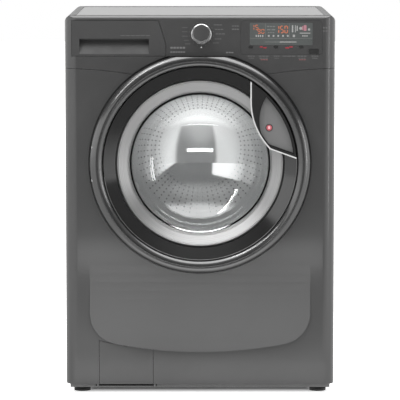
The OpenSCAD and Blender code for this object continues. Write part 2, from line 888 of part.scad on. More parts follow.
module hinge_cut() {
  h = hinge_arm_h + 2 * slide_gap;
  for (s = [-1, 1]) translate([hinge_x, s * hinge_rise, hinge_out]) {
    rotate([90, 0, 0]) cylinder(h = h, r = hinge_pin_r + 3 + slide_gap / 2, center = true);
    translate([-hinge_in - 5, -h / 2, -hinge_out - recess_d]) cube([60, h, hinge_out + recess_d + slide_gap]);
  }
}

module door_outer_ring() {
  color(gloss_black) on_door() difference() {
    rotate_extrude() difference() {
      ring_profile(0);
      ring_profile(door_t);
    }
    translate([-door_r, door_flat, -50]) cube([2 * door_r, 100, 200]);
    translate([0, 0, back_f - eps]) cylinder(h = 4 + eps, r = door_r - door_t - eps);
    hinge_cut();
  }
}

module handle_area(r, gap) {
  intersection() {
    circle(r);
    union() {
      translate([plate_x + plate_r, plate_rise]) circle(plate_r - gap, $fn = 180);
      translate([plate_x + gap, plate_rise]) square([r, r]);
    }
    polygon([[0, handle_foot(0) + gap], [r, handle_foot(r) + gap], [r, r], [0, r]]);
  }
}

// straight lower edge of the handle plate
foot_rise = 32.6;
foot_slope = 0.36;
function handle_foot(x) = foot_rise - (x - door_r + 90) * foot_slope;

lever_r = 96;

module lever_area(gap) {
  intersection() {
    circle(black_out - 6 + gap);
    translate([plate_x + 20 + lever_r, plate_rise - 42]) circle(lever_r + gap);
    translate([plate_x + plate_r, plate_rise]) circle(plate_r - strip_w - 3 + gap, $fn = 180);
    polygon([[0, handle_foot(0) + 10 - gap], [door_r, handle_foot(door_r) + 10 - gap],
      [door_r, door_r], [0, door_r]]);
  }
}

module door_inner_ring() {
  slope = 7;
  rim_f = plate_f - 3;
  color(gloss_black) on_door() difference() {
    union() {
      rotate_extrude() polygon([[inner_ring_r, seat_f], [inner_ring_r + door_t, seat_f],
        [inner_ring_r + door_t, rim_f - slope - door_t / 2], [black_out, rim_f - door_t], [black_out, rim_f],
        [inner_ring_r, rim_f - slope]]);
      plate(plate_f - 3.6, 3.6) handle_area(black_out - 0.1, strip_w);
      // pocket that the lever sits in
      plate(pocket_f, plate_f - 2 - pocket_f) intersection() {
        lever_area(lever_gap + 2);
        circle(black_out);
      }
    }
    plate(pocket_f + 2, 60) lever_area(lever_gap);
    translate([-door_r, door_flat, -50]) cube([2 * door_r, 100, 200]);
  }
}

module handle_strip() {
  color(silver) on_door() plate(plate_f - 2.9, 3.4) difference() {
    handle_area(black_out, 0);
    handle_area(black_out + eps, strip_w);
  }
}

module door_trim_ring() {
  lip = 2;
  color(silver) on_door() difference() {
    rotate_extrude() polygon([[glass_r + 1, seat_f + glass_t], [trim_r - lip, seat_f + glass_t],
      [trim_r - lip, seat_f], [trim_r, seat_f], [trim_r, 15], [trim_r - 3, 15], [glass_r + 4, 5],
      [glass_r + 1, seat_f + glass_t + 1.5]]);
    // the handle's pocket takes a bite out of the ring
    plate(pocket_f - 0.3, 60) lever_area(lever_gap + 2.3);
  }
}

// profile of a half oval bowl, from its rim at height top down to its middle at depth low
function bowl_points(rim, top, low) = let (n = 16)
  [for (i = [0:n]) let (a = 90 * i / n) [rim * cos(a), top - (top + low) * sin(a)]];

module door_glass() {
  top = seat_f + glass_t;
  low = glass_d + 2;
  color([0.75, 0.8, 0.82, 0.5]) on_door() rotate_extrude() difference() {
    polygon(concat([[0, top], [glass_flange_r, top], [glass_flange_r, seat_f]],
      bowl_points(glass_r, seat_f, low)));
    polygon(concat([[0, top + eps]], bowl_points(glass_r - glass_t, top + eps, low - glass_t)));
  }
}

module door_back_ring() {
  rib_l = 2 * hinge_rise - hinge_arm_h - 2 * slide_gap - 0.4;
  color(grey_plastic) on_door() difference() {
    union() {
      ring(door_r - door_t, glass_r + 1, back_f, seat_f - back_f);
      ring(trim_r - 2 - 0.2, glass_flange_r + 0.3, seat_f, glass_t - 0.2);
      // ribs that carry the hinge pins
      translate([hinge_x - 4, -rib_l / 2, seat_f - eps])
        cube([12, rib_l, hinge_out + hinge_pin_r + 2 - seat_f]);
    }
    translate([-door_r, door_flat, -50]) cube([2 * door_r, 100, 200]);
    hinge_cut();
    translate([hinge_x, 0, hinge_out]) rotate([90, 0, 0]) cylinder(h = 200, r = hinge_pin_r, center = true);
    plate(back_f - eps, 8) translate([hook_x - 9, -hook_h / 2 - 2]) square([18, hook_h + 4]);
  }
}

module hinge_pin() {
  l = 2 * hinge_rise + hinge_arm_h;
  color(zinc) on_door() translate([hinge_x, 0, hinge_out]) rotate([90, 0, 0])
    cylinder(h = l, r = hinge_pin_r, center = true);
}

module hinge_bracket() {
  base_f = -recess_d;
  base_x = hinge_x + 26;
  arm_t = 2.5;
  span = norm([26, hinge_out - base_f]);
  tilt = atan2(hinge_out - base_f, 26);
  color(zinc) on_door() {
    translate([base_x - 4, -hinge_rise - 12, base_f]) cube([14, 2 * hinge_rise + 24, 1.8]);
    for (s = [-1, 1]) translate([hinge_x, s * hinge_rise, hinge_out]) difference() {
      union() {
        rotate([90, 0, 0]) cylinder(h = hinge_arm_h, r = hinge_pin_r + 3, center = true);
        rotate([0, tilt, 0]) translate([hinge_pin_r + 1, -hinge_arm_h / 2 + 1, -arm_t])
          cube([span, hinge_arm_h - 2, 2 * arm_t]);
      }
      rotate([90, 0, 0]) cylinder(h = 100, r = hinge_pin_r + pin_gap, center = true);
      translate([-50, -50, -hinge_out + base_f - 50]) cube([200, 100, 50]);
    }
  }
}

lever_pivot_x = door_r - 49;
lever_f = 13;
pocket_f = 6;

module handle_lever() {
  color(grey_plastic) on_door() {
    plate(lever_f, 3) lever_area(0);
    translate([lever_pivot_x, 40, lever_f + 1]) rotate([-90, 0, 0]) cylinder(h = 22, r = 2.2);
  }
}

module latch_hook() {
  color(zinc) on_door() translate([hook_x, -hook_h / 2, 0]) {
    translate([0, 0, -recess_d - 20]) cube([hook_t, hook_h, recess_d + 20 + 4]);
    translate([0, 0, -recess_d - 20]) cube([hook_t + 4, hook_h, 5]);
    translate([hook_t / 2, hook_h + 2, 2]) rotate([90, 0, 0]) cylinder(h = hook_h + 4, r = hook_t / 2);
  }
}

module door_lock() {
  color(gloss_black) on_door() difference() {
    translate([hook_x - 14, -hook_h / 2 - 14, -recess_d - sheet - 30]) cube([38, hook_h + 28, 30]);
    translate([hook_x - 9, -hook_h / 2 - 2, -recess_d - sheet - 26]) cube([hook_t + 22, hook_h + 4, 30]);
  }
}

// ---- wash unit ----

module door_gasket() {
  back = -tub_f - tub_t;
  front = -recess_d - 12;
  r = opening_r - 0.3;
  color(rubber) on_door() rotate_extrude() {
    translate([r - 4, front - 2]) square([4, 14]);
    translate([glass_r + 1, front - 2]) square([r - glass_r - 2, 3]);
    translate([r - 4, front - 10]) square([3, 10]);
    translate([r - 4, front - 12]) square([17, 3]);
    translate([r + 10, front - 24]) square([3, 13]);
    translate([r - 4, front - 26]) square([17, 3]);
    translate([r - 4, back]) square([4, front - 23 - back]);
  }
}

sump_half = 52;
sump_f0 = drum_front - 20;
sump_l = 140;
sump_low = tub_r + 24;

module tub_front() {
  color(grey_plastic) on_door() difference() {
    union() {
      plate(tub_split, -tub_f - tub_split) circle(tub_r, $fn = 180);
      ring(tub_r + 8, tub_r - 1, tub_split, 5);
      ring(opening_r + 4, opening_r, -tub_f - eps, 8 + eps);
      translate([-sump_half - 4, -sump_low - 4, sump_f0 - sump_l])
        cube([2 * sump_half + 8, sump_low, sump_l]);
      translate([0, -sump_low, sump_f]) rotate([90, 0, 0]) cylinder(h = 22, r = 17);
    }
    plate(tub_split - eps, -tub_f - tub_t - tub_split + eps) circle(tub_inner_r, $fn = 180);
    plate(tub_split - eps, -tub_split + eps) circle(opening_r);
    translate([-sump_half, -sump_low, sump_f0 - sump_l + 4]) cube([2 * sump_half, sump_low, sump_l - 8]);
    translate([0, -sump_low + 5, sump_f]) rotate([90, 0, 0]) cylinder(h = 40, r = 14.5);
    translate([-heater_w / 2, -sump_low + 3, sump_f0 - 10]) cube([heater_w, 16, 20]);
    // inlet from the dispenser
    translate([hose_x, 2 * tub_r, hose_f]) rotate([90, 0, 0]) cylinder(h = 2 * tub_r, r = hose_r - 5);
  }
}

heater_w = 60;
sump_f = sump_f0 - 40;

module tub_rear() {
  color(grey_plastic) on_door() difference() {
    union() {
      plate(tub_back - tub_t, tub_split - tub_back + tub_t) circle(tub_r, $fn = 180);
      ring(tub_r + 8, tub_r - 1, tub_split - 5, 5);
      translate([0, 0, boss_back]) cylinder(h = boss_l + eps, r = bearing_r + 10);
      for (i = [0:7]) rotate([0, 0, 45 * i + 22.5])
        translate([bearing_r, -3, tub_back - tub_t - 14]) cube([tub_r - bearing_r - 20, 6, 14 + eps]);
      for (s = [-1, 1]) {
        // spring lug above and damper lug below
        translate([s > 0 ? 150 : -spring_x - 8, spring_low - door_z, spring_f - 8])
          cube([spring_x + 8 - 150, 10, 16]);
        translate([s * damper_x - 8, damper_top - door_z, spring_f - 8]) cube([16, 40, 16]);
      }
    }
    plate(tub_back, tub_split - tub_back + eps) circle(tub_inner_r, $fn = 180);
    translate([0, 0, boss_back - eps]) cylinder(h = bearing_w + eps, r = bearing_r);
    translate([0, 0, tub_back - tub_t - bearing_w + 4]) cylinder(h = bearing_w, r = bearing_r);
    translate([0, 0, boss_back - eps]) cylinder(h = 100, r = shaft_r + 4);
  }
}

module drum() {
  color(silver) on_door() {
    ring(drum_r, drum_r - drum_t, drum_back, drum_l);
    ring(drum_r - drum_t / 2, drum_mouth, drum_front - drum_t, drum_t);
    ring(drum_mouth + 3, drum_mouth, drum_front - 4, 6);
    plate(drum_back, drum_t) circle(drum_r - drum_t / 2);
  }
}

module drum_lifters() {
  base = drum_r - drum_t;
  h = 38;
  color(white_plastic) on_door() for (a = [90, 210, 330]) rotate([0, 0, a]) intersection() {
    translate([0, 0, drum_back + 25]) linear_extrude(drum_l - 60) difference() {
      polygon([[base, -26], [base - h, -9], [base - h - 4, 0], [base - h, 9], [base, 26]]);
      polygon([[base + 9, -26], [base - h + 3, -7], [base - h - 1, 0], [base - h + 3, 7], [base + 9, 26]]);
    }
    translate([0, 0, drum_back]) cylinder(h = drum_l, r = base - 0.05, $fn = 180);
  }
}

module drum_spider() {
  front = drum_back;
  color(zinc) on_door() {
    for (i = [0:2]) rotate([0, 0, 120 * i + 30]) translate([0, -11, front - spider_t])
      cube([drum_r - 12, 22, spider_t]);
    translate([0, 0, front - spider_t]) cylinder(h = spider_t, r = 40);
    translate([0, 0, pulley_f - pulley_w - 6]) cylinder(h = front - pulley_f + pulley_w + 6, r = shaft_r);
  }
}

module drum_bearings() {
  color(silver) on_door() for (f = [boss_back, tub_back - tub_t - bearing_w + 4])
    ring(bearing_r, shaft_r + pin_gap, f, bearing_w);
}

module drum_pulley() {
  rim = 8;
  color(zinc) on_door() difference() {
    union() {
      ring(pulley_r, pulley_r - rim, pulley_f - pulley_w, pulley_w);
      translate([0, 0, pulley_f - pulley_w]) cylinder(h = pulley_w, r = shaft_r + 12);
      for (i = [0:5]) rotate([0, 0, 60 * i]) translate([shaft_r + 5, -9, pulley_f - pulley_w / 2 - 4])
        cube([pulley_r - shaft_r - rim - 2, 18, 8]);
    }
    translate([0, 0, pulley_f - pulley_w - eps]) cylinder(h = pulley_w + 2 * eps, r = shaft_r);
  }
}

motor_rise = -motor_drop;

// belt round the two pulleys: an arc round each and a straight run on either side
module belt_area(gap, t) {
  d = norm([motor_x, motor_rise]);
  a = acos((pulley_r - motor_pulley_r) / d);
  run = d * sin(a);
  lap = 4;
  inset = 0.2;
  rotate(atan2(motor_rise, motor_x)) {
    belt_arc(pulley_r + gap, t, a, 360 - a);
    translate([d, 0]) belt_arc(motor_pulley_r + gap, t, -a, a);
    for (s = [-1, 1]) rotate(s * a) translate([pulley_r + gap + inset, s < 0 ? -lap : -run - lap])
      square([t - 2 * inset, run + 2 * lap]);
  }
}

// ring sector from angle a0 to a1
module belt_arc(r, t, a0, a1) {
  far = 4 * r;
  mid = (a0 + a1) / 2;
  half = (a1 - a0) / 2;
  away = -far * (half > 90 ? 1 : 3);
  difference() {
    circle(r + t);
    circle(r);
    rotate(mid) polygon([[0, 0], [far * cos(half), far * sin(half)], [away, far * sin(half)],
      [away, -far * sin(half)], [far * cos(half), -far * sin(half)]]);
  }
}

module drive_belt() {
  color(rubber) on_door() plate(pulley_f - pulley_w / 2 - belt_w / 2, belt_w) belt_area(0.3, belt_t);
}

motor_front = pulley_f + 14 + motor_l;

module motor() {
  back = pulley_f + 14;
  color(zinc) on_door() difference() {
    union() {
      translate([motor_x, motor_rise, back]) cylinder(h = motor_l, r = motor_r);
      translate([motor_x, motor_rise, back - 8]) cylinder(h = 9, r = 20);
      difference() {
        for (f = [back + 10, motor_front - 22])
          translate([motor_x - 12, motor_rise + motor_r - 8, f]) cube([24, tub_r, 12]);
        translate([0, 0, -body_d]) cylinder(h = body_d, r = tub_r, $fn = 180);
        translate([-tub_r, 0, -body_d]) cube([2 * tub_r, tub_r, body_d]);
      }
    }
    translate([motor_x, motor_rise, back - 10]) cylinder(h = 40, r = 7 + pin_gap);
  }
}

module motor_pulley() {
  color(silver) on_door() translate([motor_x, motor_rise, 0]) {
    translate([0, 0, pulley_f - pulley_w]) cylinder(h = pulley_w, r = motor_pulley_r);
    translate([0, 0, pulley_f - pulley_w]) cylinder(h = pulley_w + 30, r = 7);
  }
}

module heater() {
  rod = 4;
  gap = 18;
  l = sump_l - 40;
  z = -sump_low + 11;
  color(silver) on_door() {
    for (s = [-1, 1]) translate([s * gap, z, sump_f0 - l]) cylinder(h = l + 12, r = rod);
    translate([0, z, sump_f0 - l]) rotate([-90, 0, 0]) rotate_extrude(angle = 180)
      translate([gap, 0]) circle(rod);
    translate([-heater_w / 2, -sump_low + 3, sump_f0 - 4]) cube([heater_w, 16, 6]);
  }
}

module front_counterweight() {
  color(concrete) on_door() rotate([0, 0, 195]) rotate_extrude(angle = 150)
    translate([opening_r + 20, -tub_f]) square([tub_r - opening_r - 26, 28]);
}

module top_counterweight() {
  low = tub_r - 24;
  left = -66;
  right = 140;
  color(concrete) on_door() difference() {
    translate([left, low, tub_split + 12])
      cube([right - left, top_z - door_z - low - 12, -tub_split - tub_f - 20]);
    translate([0, 0, -body_d]) cylinder(h = body_d, r = tub_r, $fn = 180);
  }
}

spring_x = tub_r + 12;
spring_f = -300;
spring_y = front_y - spring_f;
spring_low = door_z + 163;
spring_top = top_z - 30;

// a close-wound spring: a tube with a ridge for each coil, and a straight hook end above and below
module suspension_springs() {
  wire = 2.4;
  coil_r = 11;
  hook = 14;
  pitch = 2 * wire;
  foot = spring_low + 10;
  n = floor((spring_top - foot - 2 * hook) / pitch);
  color(silver) mirrored_x() translate([spring_x, spring_y, foot]) {
    translate([0, 0, hook]) rotate_extrude() polygon(concat([[coil_r - pitch, 0]],
      [for (i = [0:2 * n]) [coil_r + (i % 2 == 0 ? -1 : 1), i * pitch / 2]],
      [[coil_r - pitch, n * pitch]]));
    for (z = [hook, hook + n * pitch - wire]) translate([0, 0, z]) cylinder(h = wire, r = coil_r - wire);
    cylinder(h = hook + eps, r = wire);
    translate([0, 0, hook + n * pitch - eps])
      cylinder(h = spring_top - foot - hook - n * pitch + eps, r = wire);
  }
}

damper_x = tub_r - 72;
damper_top = door_z - sqrt(pow(tub_r, 2) - pow(damper_x, 2)) - 22;

module dampers() {
  foot = base_z + base_t;
  mid = foot + (damper_top - foot) * 0.6;
  color(gloss_black) mirrored_x() translate([damper_x, spring_y, 0]) {
    translate([0, 0, foot]) cylinder(h = 8, r = 22);
    translate([0, 0, foot]) cylinder(h = mid - foot, r = 14);
    translate([0, 0, foot]) cylinder(h = damper_top - foot, r = 6);
  }
}

// ---- water ----

valve_x = tray_x0 + 66;
valve_z = tray_z0 + tray_h / 2 + 8;
filter_x = flap_x0 + flap_w / 2;
filter_z = base_z + filter_rise;
drain_x = filter_x - 72;
drain_z = filter_z + 10;
gland_x = inside_x - 78.8;
gland_z = top_z - 63;
gland_r = 9;
pump_f0 = -16;
pump_l = 118;
pump_r = filter_r + 5;

module drain_pump() {
  back = pump_f0 - pump_l;
  color(grey_plastic) from_front() difference() {
    union() {
      translate([filter_x, filter_z, back]) cylinder(h = pump_l, r = pump_r);
      translate([filter_x, filter_z, back - 56]) cylinder(h = 57, r = 24);
      // foot on the base tray, hose stubs to the sump and to the drain
      difference() {
        translate([filter_x - 22, base_z + base_t, back + 10]) cube([44, filter_z - base_z, pump_l - 40]);
        translate([filter_x, filter_z, back]) cylinder(h = pump_l, r = pump_r - 2);
      }
      translate([filter_x, drain_z, sump_f]) rotate([0, 90, 0]) cylinder(h = pump_r + 16, r = 15);
      translate([filter_x, drain_z, sump_f]) rotate([0, -90, 0]) cylinder(h = 72, r = drain_r);
    }
    translate([filter_x, filter_z, pump_f0 - 80]) cylinder(h = 90, r = filter_r - 2 + pin_gap);
    translate([filter_x, drain_z, sump_f]) rotate([0, 90, 0]) cylinder(h = 80, r = 12.5);
  }
}

module filter_cap() {
  color(white_plastic) from_front() translate([filter_x, filter_z, pump_f0]) {
    translate([0, 0, 0.5]) cylinder(h = 4, r = filter_r);
    translate([0, 0, -26]) cylinder(h = 27, r = filter_r - 2);
    translate([-filter_r + 5, -3, 4]) cube([2 * filter_r - 10, 6, 7]);
  }
}

flap_axis_z = panel_z + 8;
flap_axis_f = -8;
flap_pin_r = 2.5;

module filter_flap() {
  color(steel) from_front() {
    plate(-flap_t, flap_t) flap_area(0);
    for (x = [flap_x0 + 2, flap_x0 + flap_w - 12]) translate([x, flap_axis_z, flap_axis_f]) {
      rotate([0, 90, 0]) cylinder(h = 10, r = flap_pin_r);
      translate([0, -flap_pin_r, 0]) cube([10, 2 * flap_pin_r, -flap_axis_f - flap_t / 2]);
    }
    translate([flap_x0 - 6, flap_axis_z, flap_axis_f]) rotate([0, 90, 0])
      cylinder(h = flap_w + 12, r = flap_pin_r);
  }
}

module sump_hose() {
  bend = 40;
  top = door_z - sump_low - 4;
  x1 = filter_x + pump_r + 4;
  outer = 18;
  color(rubber) from_front() translate([0, 0, sump_f]) difference() {
    hose_run(outer, top, bend, x1, 0);
    hose_run(outer - 0.8, top, bend, x1, eps);
  }
}

// down from the sump, round one bend and across to the pump
module hose_run(r, top, bend, x1, over) {
  translate([0, drain_z + bend, 0]) rotate([-90, 0, 0]) cylinder(h = top - drain_z - bend + over, r = r);
  translate([-bend, drain_z + bend, 0]) rotate([0, 0, 270]) rotate_extrude(angle = 90)
    translate([bend, 0]) circle(r);
  translate([x1 - over, drain_z, 0]) rotate([0, 90, 0]) cylinder(h = -bend - x1 + over, r = r);
}

module drain_hose() {
  color(rubber) from_front() {
    difference() {
      translate([drain_x, drain_z, -body_d + sheet])
        cylinder(h = body_d - sheet + sump_f + drain_r + 3, r = drain_r + 2);
      // socket for the pump's outlet
      translate([drain_x - 1, drain_z, sump_f]) rotate([0, 90, 0])
        cylinder(h = 4 * drain_r, r = drain_r + pin_gap);
    }
    translate([drain_x, drain_z, -body_d - 26]) cylinder(h = 28, r = drain_r);
    translate([drain_x, drain_z, -body_d - 3]) cylinder(h = 3, r = drain_r + 7);
  }
}

module inlet_valve() {
  body = 34;
  color(white_plastic) from_front() {
    translate([valve_x, valve_z, -body_d - inlet_l]) cylinder(h = inlet_l + 4, r = inlet_r);
    translate([valve_x, valve_z, -body_d - 3]) cylinder(h = 3, r = inlet_r + 4);
    translate([valve_x - 18, valve_z - 18, -body_d + sheet]) cube([36, 30, body]);
    // outlet pipe to the dispenser
    translate([valve_x, valve_z, -body_d + sheet + body - eps])
      cylinder(h = body_d - sheet - body + tray_f - tray_l - 20 + eps, r = 6);
  }
}

module mains_gland() {
  color(gloss_black) from_front() translate([gland_x, gland_z, -body_d]) difference() {
    union() {
      translate([0, 0, -10]) cylinder(h = 10, r = gland_r + 4);
      translate([0, 0, -1]) cylinder(h = 12, r = gland_r);
      translate([0, 0, sheet]) cylinder(h = 4, r = gland_r + 4);
    }
    translate([0, 0, -20]) cylinder(h = 40, r = 4);
  }
}

left_side_panel();
right_side_panel();
rear_panel();
rear_access_cover();
front_panel();
base_tray();
foot_front_left();
foot_front_right();
foot_rear_left();
foot_rear_right();
worktop();
worktop_trim();
console();
display_window();
control_board();
dispenser_housing();
drawer_front();
drawer_tray();
siphon_cap();
program_knob();
knob_ring();
option_button_1();
option_button_2();
option_button_3();
start_button();
door_outer_ring();
door_inner_ring();
door_trim_ring();
door_glass();
door_back_ring();
hinge_pin();
hinge_bracket();
handle_strip();
handle_lever();
latch_hook();
door_lock();
door_gasket();
tub_front();
tub_rear();
drum();
drum_lifters();
drum_spider();
drum_bearings();
drum_pulley();
drive_belt();
motor();
motor_pulley();
heater();
front_counterweight();
top_counterweight();
suspension_springs();
dampers();
drain_pump();
filter_cap();
filter_flap();
sump_hose();
inlet_valve();
dispenser_hose();
drain_hose();
mains_gland();
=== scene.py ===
"""Looks for the front-loading washing machine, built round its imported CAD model.

Lengths in this script are millimetres, measured as the machine is seen from the front:
x to the right, f forward of the flat front, z up from the floor. place() turns them into the frame.
"""

import json
import math

import bmesh
import bpy
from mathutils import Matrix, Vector


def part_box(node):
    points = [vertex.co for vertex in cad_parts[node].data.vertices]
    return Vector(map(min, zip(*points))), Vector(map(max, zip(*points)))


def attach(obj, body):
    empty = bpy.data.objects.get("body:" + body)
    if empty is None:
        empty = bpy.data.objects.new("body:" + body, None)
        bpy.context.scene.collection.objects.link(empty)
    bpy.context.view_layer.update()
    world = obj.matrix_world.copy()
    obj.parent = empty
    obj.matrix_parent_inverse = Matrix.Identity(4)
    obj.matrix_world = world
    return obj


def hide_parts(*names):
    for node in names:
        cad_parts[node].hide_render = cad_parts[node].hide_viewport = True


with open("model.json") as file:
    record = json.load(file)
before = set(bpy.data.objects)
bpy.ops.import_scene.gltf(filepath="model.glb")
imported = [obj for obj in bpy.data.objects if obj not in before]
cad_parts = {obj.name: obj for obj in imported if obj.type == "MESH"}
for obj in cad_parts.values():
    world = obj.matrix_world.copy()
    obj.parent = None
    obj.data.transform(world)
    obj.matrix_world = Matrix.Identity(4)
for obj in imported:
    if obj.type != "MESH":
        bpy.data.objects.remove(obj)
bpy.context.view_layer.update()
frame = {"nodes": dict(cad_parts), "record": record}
NODES = frame["nodes"]

MM = 0.001
FRONT_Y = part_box("console")[0].y
GLASS = [(a + b) / 2 / MM for a, b in zip(*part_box("door_glass"))]
DOOR_X, DOOR_Z = GLASS[0], GLASS[2]


def place(x, f, z):
    """The point x right, f ahead of the flat front and z above the floor."""
    return Vector((x * MM, FRONT_Y - f * MM, z * MM))


def extent(node):
    """Lowest and highest x, f and z of a CAD node, in millimetres."""
    low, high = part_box(node)
    return (
        (low.x / MM, high.x / MM),
        ((FRONT_Y - high.y) / MM, (FRONT_Y - low.y) / MM),
        (low.z / MM, high.z / MM),
    )


KNOB = extent("knob_ring")
KNOB_X = sum(KNOB[0]) / 2
KNOB_Z = sum(KNOB[2]) / 2
# centre (x, z) of the fine turned lines on the knob's ring
KNOB_AXIS = (-0.5, 804.6)


# ---- camera ----


def add_camera():
    """A long lens a little above the machine, looking slightly down at it."""
    distance, height, aim_z, lens = 6.2, 1.107, 0.4354, 252.3
    data = bpy.data.cameras.new("camera")
    data.lens = lens
    data.sensor_width = 36
    data.clip_end = 40
    camera = bpy.data.objects.new("camera", data)
    camera.location = (0.0, FRONT_Y - distance, height)
    aim = Vector((0.0, FRONT_Y, aim_z)) - camera.location
    camera.rotation_euler = aim.to_track_quat("-Z", "Y").to_euler()
    bpy.context.scene.collection.objects.link(camera)
    bpy.context.scene.camera = camera


add_camera()


# ---- materials ----


class Nodes:
    """A material's node tree, with short calls for the nodes used here."""

    def __init__(self, name):
        self.material = bpy.data.materials.new(name)
        self.material.use_nodes = True
        self.tree = self.material.node_tree
        self.shader = self.tree.nodes["Principled BSDF"]

    def add(self, kind, **inputs):
        node = self.tree.nodes.new(kind)
        for key, value in inputs.items():
            self.put(node.inputs[key.replace("_", " ")], value)
        return node

    def put(self, socket, value):
        if isinstance(value, bpy.types.NodeSocket):
            self.tree.links.new(value, socket)
        else:
            socket.default_value = value

    def set(self, **inputs):
        for key, value in inputs.items():
            self.put(self.shader.inputs[key.replace("_", " ")], value)

    def position(self, scale=(1, 1, 1)):
        """The point in the object's own space, stretched by scale."""
        coords = self.add("ShaderNodeTexCoord")
        mapping = self.add("ShaderNodeMapping", Scale=scale)
        self.put(mapping.inputs["Vector"], coords.outputs["Object"])
        return mapping.outputs["Vector"]

    def noise(self, scale, detail=3.0, stretch=(1, 1, 1)):
        node = self.add("ShaderNodeTexNoise", Scale=scale, Detail=detail)
        self.put(node.inputs["Vector"], self.position(stretch))
        return node.outputs["Fac"]

    def spread(self, value, low, high, start=0.3, end=0.7):
        """value taken from the range start to end onto low to high."""
        node = self.add("ShaderNodeMapRange")
        self.put(node.inputs["Value"], value)
        node.inputs["From Min"].default_value = start
        node.inputs["From Max"].default_value = end
        node.inputs["To Min"].default_value = low
        node.inputs["To Max"].default_value = high
        return node.outputs["Result"]

    def blend(self, factor, first, second):
        node = self.add("ShaderNodeMix")
        node.data_type = "RGBA"
        self.put(node.inputs[0], factor)
        self.put(node.inputs[6], rgba(first))
        self.put(node.inputs[7], rgba(second))
        return node.outputs[2]

    def math(self, operation, first, second=0.0):
        node = self.add("ShaderNodeMath")
        node.operation = operation
        self.put(node.inputs[0], first)
        self.put(node.inputs[1], second)
        return node.outputs[0]

    def radius(self, centre):
        """Distance in metres from a forward axis through centre (x, z)."""
        split = self.add("ShaderNodeSeparateXYZ")
        self.put(split.inputs[0], self.position())
        across = self.math("SUBTRACT", split.outputs[0], centre[0] * MM)
        rise = self.math("SUBTRACT", split.outputs[2], centre[1] * MM)
        across, rise = (self.math("POWER", side, 2.0) for side in (across, rise))
        return self.math("SQRT", self.math("ADD", across, rise))

    def bump(self, height, strength, distance):
        node = self.add("ShaderNodeBump", Strength=strength, Distance=distance)
        self.put(node.inputs["Height"], height)
        self.set(Normal=node.outputs["Normal"])


def rgba(value):
    """A colour socket's value from a grey level or three numbers; sockets pass through."""
    if isinstance(value, bpy.types.NodeSocket):
        return value
    if isinstance(value, (int, float)):
        return (value, value, value, 1)
    return (*value, 1)


def moulded(name, dark, light, roughness, grain=900, depth=0.00003, coat=0.0, metallic=0.0):
    """Plastic or paint with a fine grain, a slow change of tone and uneven gloss."""
    n = Nodes(name)
    tone = n.spread(n.noise(6, 4), 0, 1)
    fine = n.noise(grain, 2)
    n.set(Base_Color=n.blend(tone, dark, light), Metallic=metallic)
    n.set(Coat_Weight=coat, Coat_Roughness=0.1)
    n.set(Roughness=n.spread(n.noise(40, 3), roughness * 0.9, roughness * 1.12))
    n.bump(fine, 0.25, depth)
    return n.material


def brushed(name, dark, light, roughness, stretch, metallic=1.0):
    """Metal with fine lines across one direction."""
    n = Nodes(name)
    lines = n.noise(120, 4, stretch)
    n.set(Base_Color=n.blend(n.spread(lines, 0, 1), dark, light), Metallic=metallic)
    n.set(Roughness=n.spread(lines, roughness * 0.8, roughness * 1.2))
    n.bump(lines, 0.15, 0.00004)
    return n.material


def turned(name, dark, light, roughness, centre):
    """Metal with fine lines turned about a forward axis."""
    n = Nodes(name)
    lines = n.add("ShaderNodeTexNoise", Scale=1.0, Detail=2.0)
    lines.noise_dimensions = "1D"
    n.put(lines.inputs["W"], n.math("MULTIPLY", n.radius(centre), 900.0))
    fine = lines.outputs["Fac"]
    n.set(Base_Color=n.blend(n.spread(fine, 0, 1), dark, light), Metallic=0.9)
    n.set(Roughness=n.spread(fine, roughness * 0.85, roughness * 1.15))
    n.bump(fine, 0.3, 0.0001)
    return n.material


def cast(name, dark, light, roughness, metallic):
    """Rough casting with open grain."""
    n = Nodes(name)
    grain = n.noise(260, 6)
    n.set(Base_Color=n.blend(n.spread(n.noise(18, 4), 0, 1), dark, light), Metallic=metallic)
    n.set(Roughness=n.spread(grain, roughness * 0.85, roughness * 1.1))
    n.bump(grain, 0.5, 0.0002)
    return n.material


def laminate(name):
    """Worktop board: a fine pressed grain under a hard satin face."""
    n = Nodes(name)
    grain = n.noise(420, 4, (1, 0.6, 1))
    n.set(Base_Color=n.blend(n.spread(grain, 0, 1), 0.27, 0.32), Specular_IOR_Level=0.15)
    n.set(Roughness=n.spread(grain, 0.5, 0.62))
    n.bump(grain, 0.2, 0.00004)
    return n.material


def clear_glass(name):
    """Door glass, lamp light passing through; its middle carries a thin mirror tint."""
    n = Nodes(name)
    smudge = n.noise(14, 3)
    n.set(Base_Color=n.blend(smudge, (0.93, 0.95, 0.95), (0.97, 0.98, 0.98)), IOR=1.45)
    n.set(Roughness=n.spread(smudge, 0.0, 0.02), Transmission_Weight=1.0)
    n.set(Metallic=n.spread(n.radius((DOOR_X, DOOR_Z)), 0.34, 0.02, 0.072, 0.105))
    path = n.add("ShaderNodeLightPath")
    n.set(Alpha=n.math("SUBTRACT", 1.0, n.math("MULTIPLY", path.outputs["Is Shadow Ray"], 0.85)))
    return n.material


def glowing(name, colour, strength):
    """A lit segment of the display, of slightly uneven strength."""
    n = Nodes(name)
    cells = n.noise(700, 2)
    n.set(Base_Color=rgba(colour), Roughness=0.3, Emission_Color=rgba(colour))
    n.set(Emission_Strength=n.spread(cells, strength * 0.8, strength * 1.2))
    return n.material


